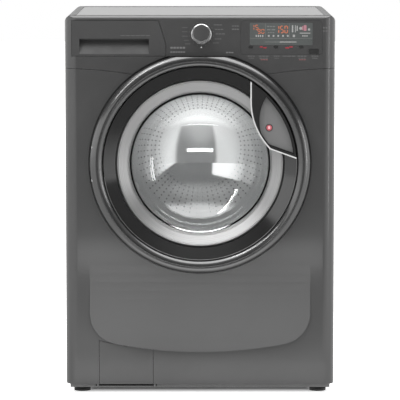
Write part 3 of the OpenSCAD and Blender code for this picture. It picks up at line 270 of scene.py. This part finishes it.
# one look for each material slot of the CAD record
LOOKS = {
    "painted_steel": lambda: moulded("graphite_paint", 0.052, 0.060, 0.36, coat=0.4, metallic=0.3),
    "zinc_steel": lambda: brushed("galvanised", 0.38, 0.5, 0.45, (1, 1, 6)),
    "console_plastic": lambda: moulded("graphite_plastic", 0.046, 0.053, 0.36, coat=0.4, metallic=0.2),
    "piano_black": lambda: moulded("piano_black", 0.012, 0.015, 0.08, 300, 0.000004, coat=0.6),
    "smoked_plastic": lambda: moulded("smoked_panel", 0.042, 0.05, 0.2, 300, 0.000005, coat=0.4),
    "silver_trim": lambda: turned("satin_silver", 0.26, 0.32, 0.38, (DOOR_X, DOOR_Z)),
    "bright_trim": lambda: brushed("bright_trim", 0.78, 0.86, 0.12, (1, 8, 1)),
    "door_glass": lambda: clear_glass("door_glass_clear"),
    "grey_plastic": lambda: moulded("grey_moulding", 0.13, 0.16, 0.5),
    "white_plastic": lambda: moulded("white_moulding", 0.7, 0.76, 0.4),
    "blue_plastic": lambda: moulded("blue_moulding", (0.08, 0.16, 0.4), (0.1, 0.2, 0.46), 0.4),
    "worktop_laminate": lambda: laminate("worktop_board"),
    "gasket_rubber": lambda: moulded("grey_rubber", 0.46, 0.52, 0.5, 500, 0.00006),
    "black_rubber": lambda: moulded("black_rubber", 0.018, 0.026, 0.7, 500, 0.00006),
    "drum_steel": lambda: turned("drum_steel", 0.74, 0.82, 0.42, (DOOR_X, DOOR_Z)),
    "bare_steel": lambda: brushed("bare_steel", 0.45, 0.58, 0.32, (1, 1, 8)),
    "cast_aluminium": lambda: cast("cast_aluminium", 0.5, 0.62, 0.42, 0.9),
    "cast_iron": lambda: cast("cast_iron", 0.06, 0.09, 0.65, 0.6),
    "circuit_board": lambda: moulded("board_green", (0.01, 0.09, 0.03), (0.02, 0.14, 0.05), 0.4),
    "motor_steel": lambda: moulded("motor_paint", 0.12, 0.16, 0.4, metallic=0.4),
}
# looks of pieces made here, and of the nodes in NODE_LOOKS
EXTRA_LOOKS = {
    "dark_chrome": lambda: moulded("dark_chrome", 0.085, 0.10, 0.24, 60, 0.000001, coat=0.5, metallic=0.9),
    "pale_silver": lambda: moulded("pale_silver", 0.62, 0.72, 0.35, 300, 0.000004, metallic=0.3),
    "button_black": lambda: moulded("button_black", 0.016, 0.02, 0.35),
    "cap_black": lambda: moulded("cap_black", 0.035, 0.042, 0.45),
    # painted highlight: grey metal lighter than the black rings, for the thin shine along their joint
    "seam_highlight_bead": lambda: brushed("seam_highlight_bead", 0.10, 0.13, 0.35, (1, 1, 1), 0.6),
    "knob_silver": lambda: turned("knob_silver", 0.46, 0.56, 0.25, KNOB_AXIS),
    "drawer_paint": lambda: moulded("drawer_paint", 0.034, 0.040, 0.55),
    "red_mark": lambda: moulded("red_mark", (0.42, 0.08, 0.10), (0.50, 0.12, 0.14), 0.4),
    "pink_mark": lambda: moulded("pink_mark", (0.75, 0.42, 0.45), (0.85, 0.5, 0.52), 0.4),
    "print_grey": lambda: moulded("print_grey", 0.12, 0.16, 0.5),
    "print_dim": lambda: moulded("print_dim", 0.09, 0.12, 0.5),
    "print_white": lambda: moulded("print_white", 0.62, 0.72, 0.45),
    "print_red": lambda: moulded("print_red", (0.22, 0.08, 0.08), (0.27, 0.1, 0.1), 0.5),
    "lcd_grey": lambda: moulded("lcd_grey", (0.06, 0.066, 0.064), (0.075, 0.081, 0.079), 0.3),
    "glow_orange": lambda: glowing("glow_orange", (0.34, 0.11, 0.06), 0.3),
    "glow_grey": lambda: glowing("glow_grey", (0.13, 0.135, 0.13), 0.3),
    "glow_white": lambda: glowing("glow_white", (0.24, 0.24, 0.235), 0.3),
    "glow_pink": lambda: glowing("glow_pink", (0.26, 0.12, 0.14), 0.4),
    "glow_red": lambda: glowing("glow_red", (0.22, 0.02, 0.03), 0.35),
}
MATERIALS = {slot: make() for slot, make in {**LOOKS, **EXTRA_LOOKS}.items()}

# nodes whose look differs from that of their slot
NODE_LOOKS = {
    "door_outer_ring": "dark_chrome", "knob_ring": "knob_silver", "drawer_front": "drawer_paint",
    "handle_strip": "pale_silver", "start_button": "button_black",
    **{f"option_button_{i}": "button_black" for i in (1, 2, 3)},
}


def dress_cad():
    """Gives every CAD node the material of its slot."""
    for part in frame["record"]["subparts"]:
        data = NODES[part["node"]].data
        data.materials.clear()
        look = NODE_LOOKS.get(part["node"], part["material_slot"])
        data.materials.append(MATERIALS[look])


dress_cad()


# ---- pieces built here ----


def piece(name, body, slot, material, points, faces):
    """A new mesh from points (x, f, z) in millimetres, riding on a CAD body."""
    data = bpy.data.meshes.new(name)
    data.from_pydata([place(*point) for point in points], [], faces)
    mesh = bmesh.new()
    mesh.from_mesh(data)
    bmesh.ops.remove_doubles(mesh, verts=mesh.verts, dist=1e-6)
    bmesh.ops.recalc_face_normals(mesh, faces=mesh.faces)
    mesh.to_mesh(data)
    mesh.free()
    data.materials.append(material)
    data.shade_smooth()
    data.set_sharp_from_angle(angle=math.radians(30))
    result = bpy.data.objects.new(name, data)
    bpy.context.scene.collection.objects.link(result)
    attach(result, body)
    return result


def arc(cx, cy, r, start, end, steps):
    """Points along an arc, in degrees from start to end."""
    angles = [math.radians(start + (end - start) * i / steps) for i in range(steps + 1)]
    return [(cx + r * math.cos(a), cy + r * math.sin(a)) for a in angles]


def lathe(profile, steps=180, start=0, end=360, centre=(DOOR_X, DOOR_Z), sink=None):
    """Points and faces of a closed profile (radius, f) turned about a forward axis."""
    whole = end - start == 360
    count = steps if whole else steps + 1
    points = []
    for i in range(count):
        a = math.radians(start + (end - start) * i / steps)
        for r, f in profile:
            x, z = r * math.cos(a), r * math.sin(a)
            points.append((centre[0] + x, sink(x, z, f) if sink else f, centre[1] + z))
    size = len(profile)
    faces = []
    for i in range(steps):
        for j in range(size):
            k = (j + 1) % size
            here, there = i * size, (i + 1) % count * size
            faces.append((here + j, here + k, there + k, there + j))
    if not whole:
        faces += [tuple(range(size)), tuple(range(steps * size, (steps + 1) * size))]
    return points, faces


def inset(outline, depth):
    """An outline (x, z) that runs anticlockwise, moved inwards."""
    moved = []
    for i, here in enumerate(outline):
        a = Vector(here) - Vector(outline[i - 1])
        b = Vector(outline[(i + 1) % len(outline)]) - Vector(here)
        n, m = Vector((-a.y, a.x)).normalized(), Vector((-b.y, b.x)).normalized()
        step = (n + m) / max(1 + n.dot(m), 0.3) * depth
        moved.append((here[0] + step.x, here[1] + step.y))
    return moved


def plates(outlines, low, high, bevel):
    """Points and faces of flat plates with a bevelled front rim, from f low to f high."""
    points, faces = [], []
    for outline in outlines:
        size, first = len(outline), len(points)
        rows = ((outline, low), (outline, high - bevel), (inset(outline, bevel), high))
        for shape, f in rows:
            points += [(x, f, z) for x, z in shape]
        for row in (0, size):
            faces += [
                (first + row + i, first + row + (i + 1) % size, first + row + size + (i + 1) % size,
                 first + row + size + i)
                for i in range(size)
            ]
        faces += [tuple(range(first, first + size)), tuple(range(first + 2 * size, first + 3 * size))]
    return points, faces


def bar(x0, x1, z0, z1, r=None):
    """Outline of a bar with rounded corners."""
    r = min(x1 - x0, z1 - z0) * 0.3 if r is None else r
    corners = ((x1 - r, z0 + r, -90), (x1 - r, z1 - r, 0), (x0 + r, z1 - r, 90), (x0 + r, z0 + r, 180))
    return [point for x, z, a in corners for point in arc(x, z, r, a, a + 90, 4)]


def dot(x, z, r, steps=16):
    """Outline of a round dot."""
    return arc(x, z, r, 0, 360 - 360 / steps, steps - 1)


# ---- door ----

TRIM = extent("door_trim_ring")
TRIM_R = (TRIM[0][1] - TRIM[0][0]) / 2
GLASS_BOX = extent("door_glass")
FLANGE_R = (GLASS_BOX[0][1] - GLASS_BOX[0][0]) / 2
BOWL_R = FLANGE_R - 12
BOWL_LOW, BOWL_TOP = GLASS_BOX[1]
GLASS_T = 4
PLATE_X = extent("handle_strip")[0][0] - DOOR_X
PLATE_RISE, PLATE_R = 138, 149
# the mark on the lever, from the door's middle
MARK_X, MARK_RISE = 153, 80


def under_plate(x, z):
    """Whether a place on the door, from its middle, is hidden behind the handle's plate."""
    right_of_edge = math.hypot(x - PLATE_X - PLATE_R, z - PLATE_RISE) < PLATE_R - 4
    above = x > PLATE_X + 4 and z > PLATE_RISE
    return (right_of_edge or above) and z > 36 - (x - 155) * 0.36


def add_silver_ring():
    """Satin ring round the glass, a dished face with fine turned steps."""
    face = [(TRIM_R, -5), (TRIM_R, 13.4)] + arc(TRIM_R - 1.6, 13.4, 1.6, 20, 160, 6)
    r, f = TRIM_R - 3.6, 12.9
    while r > BOWL_R + 7:
        face += [(r, f), (r - 2.6, f - 1.25), (r - 2.9, f - 1.55), (r - 3.2, f - 1.45)]
        r, f = r - 3.4, f - 1.55
    face += arc(BOWL_R + 4.6, 3.2, 1.5, 30, 170, 6) + [(BOWL_R + 1, 1.4), (BOWL_R + 1, -1)]
    face += [(TRIM_R - 2, -1), (TRIM_R - 2, -5)]
    ring = piece(
        "silver_ring", "door", "silver_trim", MATERIALS["silver_trim"],
        *lathe(face, 240, sink=lambda x, z, f: min(f, 5) if under_plate(x, z) else f),
    )
    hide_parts("door_trim_ring")


def add_glass_bowl():
    """Pressed glass bowl on a flat flange."""
    low, top = BOWL_LOW, BOWL_TOP
    outer = [
        (BOWL_R * math.cos(a), top - GLASS_T - (top - GLASS_T - low) * math.sin(a))
        for a in (math.pi / 2 * i / 40 for i in range(1, 41))
    ]
    inner = [
        ((BOWL_R - GLASS_T) * math.cos(a), top - (top - low - GLASS_T) * math.sin(a))
        for a in (math.pi / 2 * i / 40 for i in range(40, -1, -1))
    ]
    flange = [(FLANGE_R, top), (FLANGE_R, top - GLASS_T), (BOWL_R + 3, top - GLASS_T),
              (BOWL_R + 0.6, top - GLASS_T - 1)]
    bowl = piece(
        "glass_bowl", "door", "door_glass", MATERIALS["door_glass"],
        *lathe(flange + outer + inner, 200),
    )
    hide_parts("door_glass")


def add_seam_bead():
    """Fine bead in the joint between the two black rings, from the left round below to the handle; its
    grey metal, lighter than the rings, is a painted highlight along their edge.
    """
    r, f = extent("door_inner_ring")[0][1] - DOOR_X + 0.1, 24.4
    section = arc(r, f, 0.9, 0, 330, 11)
    piece(
        "seam_highlight_bead", "door", "silver_trim", MATERIALS["seam_highlight_bead"],
        *lathe(section, 150, start=188, end=363),
    )


def add_handle_mark():
    """Plain round mark on the lever: a red disc in a dark rim, with a paler middle."""
    x, z, f = DOOR_X + MARK_X, DOOR_Z + MARK_RISE, extent("handle_lever")[1][1]
    for name, outline, material, height in (
        ("handle_mark_rim", dot(x, z, 8.4, 40), "cap_black", 0.15),
        ("handle_mark", dot(x, z, 6.2, 32), "red_mark", 0.3),
        ("handle_mark_middle", bar(x - 2.4, x + 2.4, z - 2.8, z + 3.4, 1.6), "pink_mark", 0.45),
    ):
        piece(name, "handle", "console_plastic", MATERIALS[material],
              *plates([outline], f - 0.4, f + height, 0.1))


add_silver_ring()
add_glass_bowl()
add_seam_bead()
add_handle_mark()


# ---- drum ----

DRUM = extent("drum")
DRUM_R = (DRUM[0][1] - DRUM[0][0]) / 2
WALL_T = 0.8
# radii between which the back is dotted
DOTS_IN, DOTS_OUT = 96, 168

# eight points round a hole, the first of them nearest the cell's first corner
HOLE = [(math.cos(math.radians(a)), math.sin(math.radians(a))) for a in range(-135, 225, 45)]


def perforated(rows, columns, start, end, hole, at):
    """A sheet of cells with a round hole in each, as two skins joined at the holes and at the ends.

    at(skin, s) gives the radius and f of a skin at s, which runs from start to end.
    """
    points, faces = [], []
    pitch, turn = (end - start) / rows, 360 / columns

    def add(skin, s, degrees):
        r, f = at(skin, s)
        a = math.radians(degrees)
        points.append((DOOR_X + r * math.cos(a), f, DOOR_Z + r * math.sin(a)))
        return len(points) - 1

    corner = [
        [[add(skin, start + pitch * i, turn * j) for j in range(columns)] for i in range(rows + 1)]
        for skin in (0, 1)
    ]
    for i in range(rows):
        s = start + pitch * (i + 0.5)
        span = math.degrees(hole / at(0, s)[0])
        for j in range(columns):
            k = (j + 1) % columns
            rims = []
            for skin in (0, 1):
                rim = [add(skin, s + hole * y, turn * (j + 0.5) + span * x) for x, y in HOLE]
                grid = corner[skin]
                square = (grid[i][j], grid[i][k], grid[i + 1][k], grid[i + 1][j])
                for side in range(4):
                    here, there = square[side], square[(side + 1) % 4]
                    p, q, n = (rim[(2 * side + step) % 8] for step in range(3))
                    faces += [(here, there, n, q, p)]
                rims.append(rim)
            outer, inner = rims
            faces += [
                (outer[m], outer[(m + 1) % 8], inner[(m + 1) % 8], inner[m]) for m in range(8)
            ]
    for i in (0, rows):
        for j in range(columns):
            k = (j + 1) % columns
            faces.append((corner[0][i][j], corner[0][i][k], corner[1][i][k], corner[1][i][j]))
    return points, faces


def add_drum():
    """Perforated steel drum with a pressed, dotted back and a rolled mouth."""
    f0, f1 = DRUM[1]
    steel = MATERIALS["drum_steel"]
    wall = piece(
        "drum_wall", "drum", "drum_steel", steel,
        *perforated(16, 72, f0 + 6, f1 - 14, 2.4, lambda skin, s: (DRUM_R - WALL_T * (1 - skin), s)),
    )
    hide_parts("drum")
    piece(
        "drum_back_dots", "drum", "drum_steel", steel,
        *perforated(7, 60, DOTS_IN, DOTS_OUT, 1.9, lambda skin, s: (s, f0 + 0.5 + skin)),
    )
    hub = [(0, f0 + 0.5), (0, f0 + 6), (26, f0 + 6), (34, f0 + 4.6), (58, f0 + 1.5), (DOTS_IN, f0 + 1.5),
           (DOTS_IN, f0 + 0.5)]
    piece("drum_back_hub", "drum", "drum_steel", steel, *lathe(hub, 120))
    rim = [(DOTS_OUT, f0 + 0.5), (DOTS_OUT, f0 + 1.5), (DRUM_R - 12, f0 + 1.5), (DRUM_R - 4, f0 + 3.4),
           (DRUM_R - 0.9, f0 + 8), (DRUM_R, f0 + 8), (DRUM_R, f0 + 2), (DRUM_R - 3, f0 + 0.5)]
    piece("drum_back_rim", "drum", "drum_steel", steel, *lathe(rim, 120))
    mouth = BOWL_R + 10
    front = [(DRUM_R, f1 - 15), (DRUM_R, f1 - 5), (DRUM_R - 4, f1 - 1.2), (DRUM_R - 10, f1 - 0.4)]
    front += [(mouth + 5, f1 - 0.4)] + arc(mouth + 3, f1 - 2.4, 2, 80, 260, 8)
    front += [(mouth + 4, f1 - 1.6), (DRUM_R - 10, f1 - 1.6), (DRUM_R - 5, f1 - 2.4), (DRUM_R - 1, f1 - 6),
              (DRUM_R - 1, f1 - 15)]
    piece("drum_front_ring", "drum", "drum_steel", steel, *lathe(front, 120))


add_drum()


# ---- console ----

WINDOW_F = extent("display_window")[1][1]
SEGMENTS = {
    "0": "abcdef", "1": "bc", "2": "abged", "3": "abgcd", "4": "fgbc", "5": "afgcd", "6": "afgedc",
    "7": "abc", "8": "abcdefg", "9": "abcdfg",
}


def digit(value, x, z, w, h, t):
    """Outlines of a seven-segment digit with its lower left corner at x, z."""
    mid = z + h / 2
    across = {"a": z + h - t / 2, "g": mid, "d": z + t / 2}
    along = {"f": (x + t / 2, mid, z + h), "b": (x + w - t / 2, mid, z + h),
             "e": (x + t / 2, z, mid), "c": (x + w - t / 2, z, mid)}
    shapes = []
    for name in SEGMENTS[value]:
        if name in across:
            y = across[name]
            shapes.append([(x + t * 0.7, y), (x + t * 1.2, y - t / 2), (x + w - t * 1.2, y - t / 2),
                           (x + w - t * 0.7, y), (x + w - t * 1.2, y + t / 2), (x + t * 1.2, y + t / 2)])
        else:
            c, low, high = along[name]
            shapes.append([(c, low + t * 0.3), (c + t / 2, low + t * 0.8), (c + t / 2, high - t * 0.8),
                           (c, high - t * 0.3), (c - t / 2, high - t * 0.8), (c - t / 2, low + t * 0.8)])
    return shapes


def number(text, x, z, w, h, t, gap):
    """Outlines of a row of digits."""
    return [shape for i, value in enumerate(text) for shape in digit(value, x + i * (w + gap), z, w, h, t)]


def printed(name, outlines, material, body="cabinet", low=-0.1, high=0.12):
    """Thin plates standing a hair proud of the flat front, like print."""
    piece(name, body, "console_plastic", MATERIALS[material], *plates(outlines, low, high, 0.05))


def dashes(x0, x1, z, h, count, gap):
    """Short strokes in a row, standing for a line of small print."""
    w = (x1 - x0 - gap * (count - 1)) / count
    return [bar(x0 + i * (w + gap), x0 + i * (w + gap) + w, z - h / 2, z + h / 2) for i in range(count)]


def add_dial_marks():
    """Ring of dots round the knob, its mark and the plain strokes of the programmes."""
    ring = [
        dot(KNOB_X + 26.5 * math.sin(a), KNOB_Z + 26.5 * math.cos(a), 0.75, 12)
        for a in (math.radians(20 * i) for i in range(18))
    ]
    printed("dial_dots", ring, "print_grey")
    low, tip, half = KNOB_Z - 31, KNOB_Z - 27.6, 2.2
    printed("dial_mark", [[(KNOB_X - half, low), (KNOB_X + half, low), (KNOB_X, tip)]], "print_white")
    left = [(-42, -31, 14), (-42, -31, 5), (-42, -30, -5), (-38, -28, -14), (-36, -25, -22)]
    right = [(27, 45, 20), (30, 48, 10), (31, 52, 0), (30, 44, -11), (26, 38, -20)]
    strokes = [
        s for x0, x1, dz in left + right
        for s in dashes(KNOB_X + x0, KNOB_X + x1, KNOB_Z + dz, 1.5, 3, 1)
    ]
    printed("dial_strokes", strokes, "print_dim")


def add_print():
    """Plain strokes where the panel carries small print."""
    strokes = dashes(-65.7, -33, 774, 4.2, 5, 1.3) + dashes(-65.7, -33, 764.5, 3, 6, 0.9)
    printed("panel_strokes", strokes, "print_grey")
    printed("door_strokes", dashes(57.4, 74, 763.5, 3, 3, 1), "print_grey")
    printed("drawer_strokes", dashes(-175.7, -110, 801, 1.2, 6, 1.6), "print_dim", "drawer")
    side = [(70.6, 86, 822, 2), (70.6, 86, 815, 2.4), (266, 281.7, 818, 2), (266, 281.7, 811, 2)]
    below = [(105.8, 121.2), (130, 152), (163, 176), (182.7, 211.3), (215.7, 235.5), (246.5, 261.9)]
    strokes = [s for x0, x1, z, h in side for s in dashes(x0, x1, z, h, 3, 1)]
    strokes += [s for x0, x1 in below for s in dashes(x0, x1, 755.5, 1.6, 3, 1)]
    strokes += [s for x0, x1 in below[:3] + below[4:] for s in dashes(x0 + 2, x1 - 2, 751, 1.6, 3, 1)]
    printed("label_strokes", strokes, "print_dim")
    red = dashes(134, 150, 747.5, 1.4, 3, 1) + dashes(219, 234, 747.5, 1.4, 3, 1)
    printed("label_red", red, "print_red")


def lit(name, outlines, material, low=0.05, high=0.2):
    """Thin plates on the display window's face."""
    piece(name, "cabinet", "smoked_plastic", MATERIALS[material],
          *plates(outlines, WINDOW_F + low, WINDOW_F + high, 0.04))


def add_display():
    """Lit display on the smoked window: digits, bars and small plain signs."""
    x0, x1, z0, z1 = 110, 249, 780, 829
    lit("display_field", [bar(x0, x1, z0, z1, 2)], "lcd_grey", -0.1, 0.06)
    orange = number("15", 112, 813.5, 8, 11.5, 1.9, 1.6) + number("90", 127, 805, 7, 10.5, 1.7, 1.4)
    orange += number("150", 167, 806, 8.2, 17, 2.3, 1.5)
    lit("display_digits", orange, "glow_orange")
    grey = dashes(148, 166, 821, 2, 3, 1.4) + dashes(148, 166, 814, 2.4, 2, 2)
    grey += dashes(150, 164, 807.5, 2, 4, 1.2)
    grey += [bar(x0 + 1, x1 - 1, 794.5, 795.2), bar(143, 176, 786.2, 787.4)]
    grey += [bar(144.4, 145, 797, 828), bar(197.5, 198.1, 797, 828)]
    lit("display_signs", grey, "glow_grey")
    white = [bar(203, 206, 808, 824, 1.2), bar(210, 211.6, 808, 824), bar(213.5, 216, 811, 823)]
    white += [dot(222.5, 817, 3.4), bar(220, 244, 805.4, 807.4, 1), bar(238.5, 243.5, 812, 817, 2)]
    white += [bar(176, 213.5, 785.8, 787.8, 0.9)]
    white += dashes(123, 140, 800.3, 4.6, 4, 2) + dashes(150, 196, 800.3, 4, 5, 6.5)
    white += [bar(205, 210, 797.6, 803, 1)] + dashes(226, 238, 800.3, 3.2, 3, 1.4)
    lit("display_white", white, "glow_white")
    lit("display_pink", [bar(229, 235.5, 811.5, 824, 1.5), bar(225.5, 228, 813, 822, 1)], "glow_pink")
    signs = ((135.5, 776, 3.5), (143.5, 774.2, 4), (193, 774, 4.5), (201.5, 776, 4))
    red = [bar(x - w, x + w, z - 1.5, z + 1.5, 1.4) for x, z, w in signs]
    lit("display_red", red, "glow_red")


def add_knob_mark():
    """Pointer let into the top of the knob's ring."""
    f = KNOB[1][1]
    low, high = KNOB_Z + 19.2, KNOB_Z + 22
    outline = [(KNOB_X - 1.5, low), (KNOB_X + 1.5, low), (KNOB_X + 1.9, high), (KNOB_X - 1.9, high)]
    piece("knob_mark", "knob", "white_plastic", MATERIALS["print_white"],
          *plates([outline], f - 4, f + 0.3, 0.2))


def add_knob_cap():
    """Dark cap over the middle of the knob."""
    f = extent("program_knob")[1][1]
    x, z = KNOB_X, sum(extent("program_knob")[2]) / 2
    cap = [(0, f - 3), (0, f + 1.5), (9, f + 1.3), (15, f + 0.8)]
    cap += [(17.1, f + 0.3), (17.8, f - 0.6), (17.8, f - 3)]
    piece("knob_cap", "knob", "piano_black", MATERIALS["cap_black"], *lathe(cap, 72, centre=(x, z)))


add_knob_cap()
add_dial_marks()
add_print()
add_display()
add_knob_mark()


# ---- lower flap ----

NOTCH_X, NOTCH_R = -166, 9


def add_flap_notch():
    """Black half-disc plate on the flap's face at the finger notch in its upper edge, a painted shade for
    the dark recess under a thin lip.
    """
    _, (_, front), (_, top) = extent("filter_flap")
    # painted shade: a flat black plate in the notch's shape, not a recess
    notch = arc(NOTCH_X, top - 4, NOTCH_R, 180, 360, 16)
    piece("flap_notch_shade", "filter_flap", "black_rubber", MATERIALS["black_rubber"],
          *plates([notch], front - 0.2, front + 0.12, 0.05))


add_flap_notch()


# ---- studio ----


def add_floor():
    """A wide flat floor, as white to the camera as the air behind it."""
    half = 15.0
    corners = [(-half, -half, 0.0), (half, -half, 0.0), (half, half, 0.0), (-half, half, 0.0)]
    data = bpy.data.meshes.new("floor")
    data.from_pydata(corners, [], [(0, 1, 2, 3)])
    floor = bpy.data.objects.new("floor", data)
    bpy.context.scene.collection.objects.link(floor)
    data.materials.append(floor_material())


def floor_material():
    """White to the camera away from the machine; under its footprint the floor's glow to the camera drops
    to a painted shadow, over which the machine's real soft shadow falls.

    Reflections see it bright at the sides and at the machine's foot, and dim in a wedge ahead.
    """
    n = Nodes("studio_floor")
    tree = n.tree
    path = n.add("ShaderNodeLightPath")
    mirrored = path.outputs["Is Glossy Ray"]
    grain = n.blend(n.noise(3, 2), 0.66, 0.68)
    n.set(Base_Color=n.blend(mirrored, grain, 0.03), Roughness=0.85)
    split = n.add("ShaderNodeSeparateXYZ")
    n.put(split.inputs[0], n.position())
    x, y = (n.math("ABSOLUTE", split.outputs[i]) for i in (0, 1))
    half_width, half_depth = 0.29, 0.262
    beside, beyond = n.math("SUBTRACT", x, half_width), n.math("SUBTRACT", y, half_depth)
    outside = n.math("MAXIMUM", beside, beyond)
    # painted shadow: the glow seen by the camera falls from 1 outside the machine's footprint to 0.06
    # under it
    painted_floor_shadow = n.spread(outside, 0.06, 1.0, -0.05, 0.008)
    ahead = n.math("SUBTRACT", FRONT_Y, split.outputs[1])
    slope = n.math("DIVIDE", split.outputs[0], n.math("MAXIMUM", ahead, 0.05))
    right = n.spread(slope, 0.0, 1.1, 0.40, 0.50)
    left = n.spread(slope, 0.9, 0.0, -0.32, -0.24)
    foot = n.math("MULTIPLY", n.spread(ahead, 2.1, 0.0, 0.38, 0.58), n.spread(x, 1.0, 0.3, 0.35, 0.7))
    foot = n.math("MULTIPLY", foot, n.spread(ahead, 0.3, 1.0, 0.08, 0.2))
    bright = n.math("MAXIMUM", n.math("MAXIMUM", right, left), n.math("MAXIMUM", foot, 0.08))
    glow = n.add("ShaderNodeEmission", Color=(1, 1, 1, 1))
    seen = n.math("MULTIPLY", path.outputs["Is Camera Ray"], painted_floor_shadow)
    n.put(glow.inputs["Strength"], n.math("ADD", seen, n.math("MULTIPLY", mirrored, bright)))
    total = n.add("ShaderNodeAddShader")
    n.put(total.inputs[0], n.shader.outputs[0])
    n.put(total.inputs[1], glow.outputs[0])
    tree.links.new(total.outputs[0], tree.nodes["Material Output"].inputs["Surface"])
    return n.material


def add_world():
    """White to the camera; surfaces are lit by a roof, and mirror two side walls and the roof."""
    world = bpy.data.worlds.new("studio_air")
    world.use_nodes = True
    tree = world.node_tree

    def node(kind, **sockets):
        result = tree.nodes.new(kind)
        for socket, value in sockets.items():
            result.inputs[socket.replace("_", " ")].default_value = value
        return result

    def ramp(value, start, end, low, high):
        result = node("ShaderNodeMapRange", From_Min=start, From_Max=end, To_Min=low, To_Max=high)
        result.interpolation_type = "SMOOTHSTEP"
        tree.links.new(value, result.inputs["Value"])
        return result.outputs["Result"]

    def combine(operation, a, b):
        result = node("ShaderNodeMath")
        result.operation = operation
        for socket, value in zip(result.inputs, (a, b)):
            if isinstance(value, bpy.types.NodeSocket):
                tree.links.new(value, socket)
            else:
                socket.default_value = value
        return result.outputs[0]

    split = node("ShaderNodeSeparateXYZ")
    tree.links.new(node("ShaderNodeTexCoord").outputs["Generated"], split.inputs[0])
    x, y, z = split.outputs
    # what surfaces are lit by: a bright roof and a little from ahead
    roof = ramp(z, 0.5, 0.8, 0.0, 2.0)
    ahead = ramp(y, 0.0, -0.8, 0.25, 0.95)
    lit = combine("ADD", roof, ahead)
    # what they mirror: low walls at both sides that rise outwards, and a roof ahead
    left_top = combine("SUBTRACT", combine("MULTIPLY", x, -0.245), combine("SUBTRACT", z, 0.11))
    left_rise = ramp(left_top, -0.02, 0.02, 0.0, 1.6)
    left_wall = combine("MULTIPLY", left_rise, ramp(x, -0.18, -0.24, 0.0, 1.0))
    right_top = combine("SUBTRACT", combine("MULTIPLY", x, 0.695), combine("ADD", z, 0.333))
    right_wall = ramp(right_top, -0.02, 0.02, 0.0, 1.35)
    walls = combine("ADD", left_wall, right_wall)
    above = combine("ADD", ramp(z, 0.25, 0.45, 0.0, 0.3), ramp(z, 0.66, 0.82, 0.0, 4.2))
    mirrored = combine("ADD", combine("ADD", walls, 0.12), above)
    back = tree.nodes["Background"]
    back.inputs["Color"].default_value = (1, 1, 1, 1)
    tree.links.new(lit, back.inputs["Strength"])
    shine = node("ShaderNodeBackground", Color=(1, 1, 1, 1))
    tree.links.new(mirrored, shine.inputs["Strength"])
    path = node("ShaderNodeLightPath")
    choice = node("ShaderNodeMixShader")
    tree.links.new(path.outputs["Is Glossy Ray"], choice.inputs[0])
    tree.links.new(back.outputs[0], choice.inputs[1])
    tree.links.new(shine.outputs[0], choice.inputs[2])
    white = node("ShaderNodeBackground", Color=(1, 1, 1, 1), Strength=1.0)
    mix = node("ShaderNodeMixShader")
    tree.links.new(path.outputs["Is Camera Ray"], mix.inputs[0])
    tree.links.new(choice.outputs[0], mix.inputs[1])
    tree.links.new(white.outputs[0], mix.inputs[2])
    tree.links.new(mix.outputs[0], tree.nodes["World Output"].inputs["Surface"])
    bpy.context.scene.world = world


def add_softbox(name, where, aim, size, power):
    """A rectangular lamp; size is its width and height in metres, power is in watts."""
    data = bpy.data.lights.new(name, "AREA")
    data.shape = "RECTANGLE"
    data.size, data.size_y = size
    data.energy = power
    lamp = bpy.data.objects.new(name, data)
    lamp.location = where
    lamp.rotation_euler = (Vector(aim) - Vector(where)).to_track_quat("-Z", "Y").to_euler()
    bpy.context.scene.collection.objects.link(lamp)


def add_lights():
    """Softboxes at the left, at the right and low ahead, and a small lamp inside the drum."""
    middle = (0, 0, 0.45)
    add_softbox("softbox_left", (-1.4, -1.45, 2.4), middle, (0.1, 1.9), 20)
    add_softbox("softbox_right", (2.8, -1.95, 0.72), middle, (0.12, 1.4), 8)
    add_softbox("softbox_low", (0.0, -1.9, 0.10), (0, 0, 0.3), (0.72, 0.08), 0.85)
    add_softbox("drum_fill", place(0, -95, DOOR_Z + 95), place(0, -330, DOOR_Z - 130), (0.2, 0.05), 0.2)


bpy.context.scene.view_settings.view_transform = "Standard"
add_world()
add_floor()
add_lights()
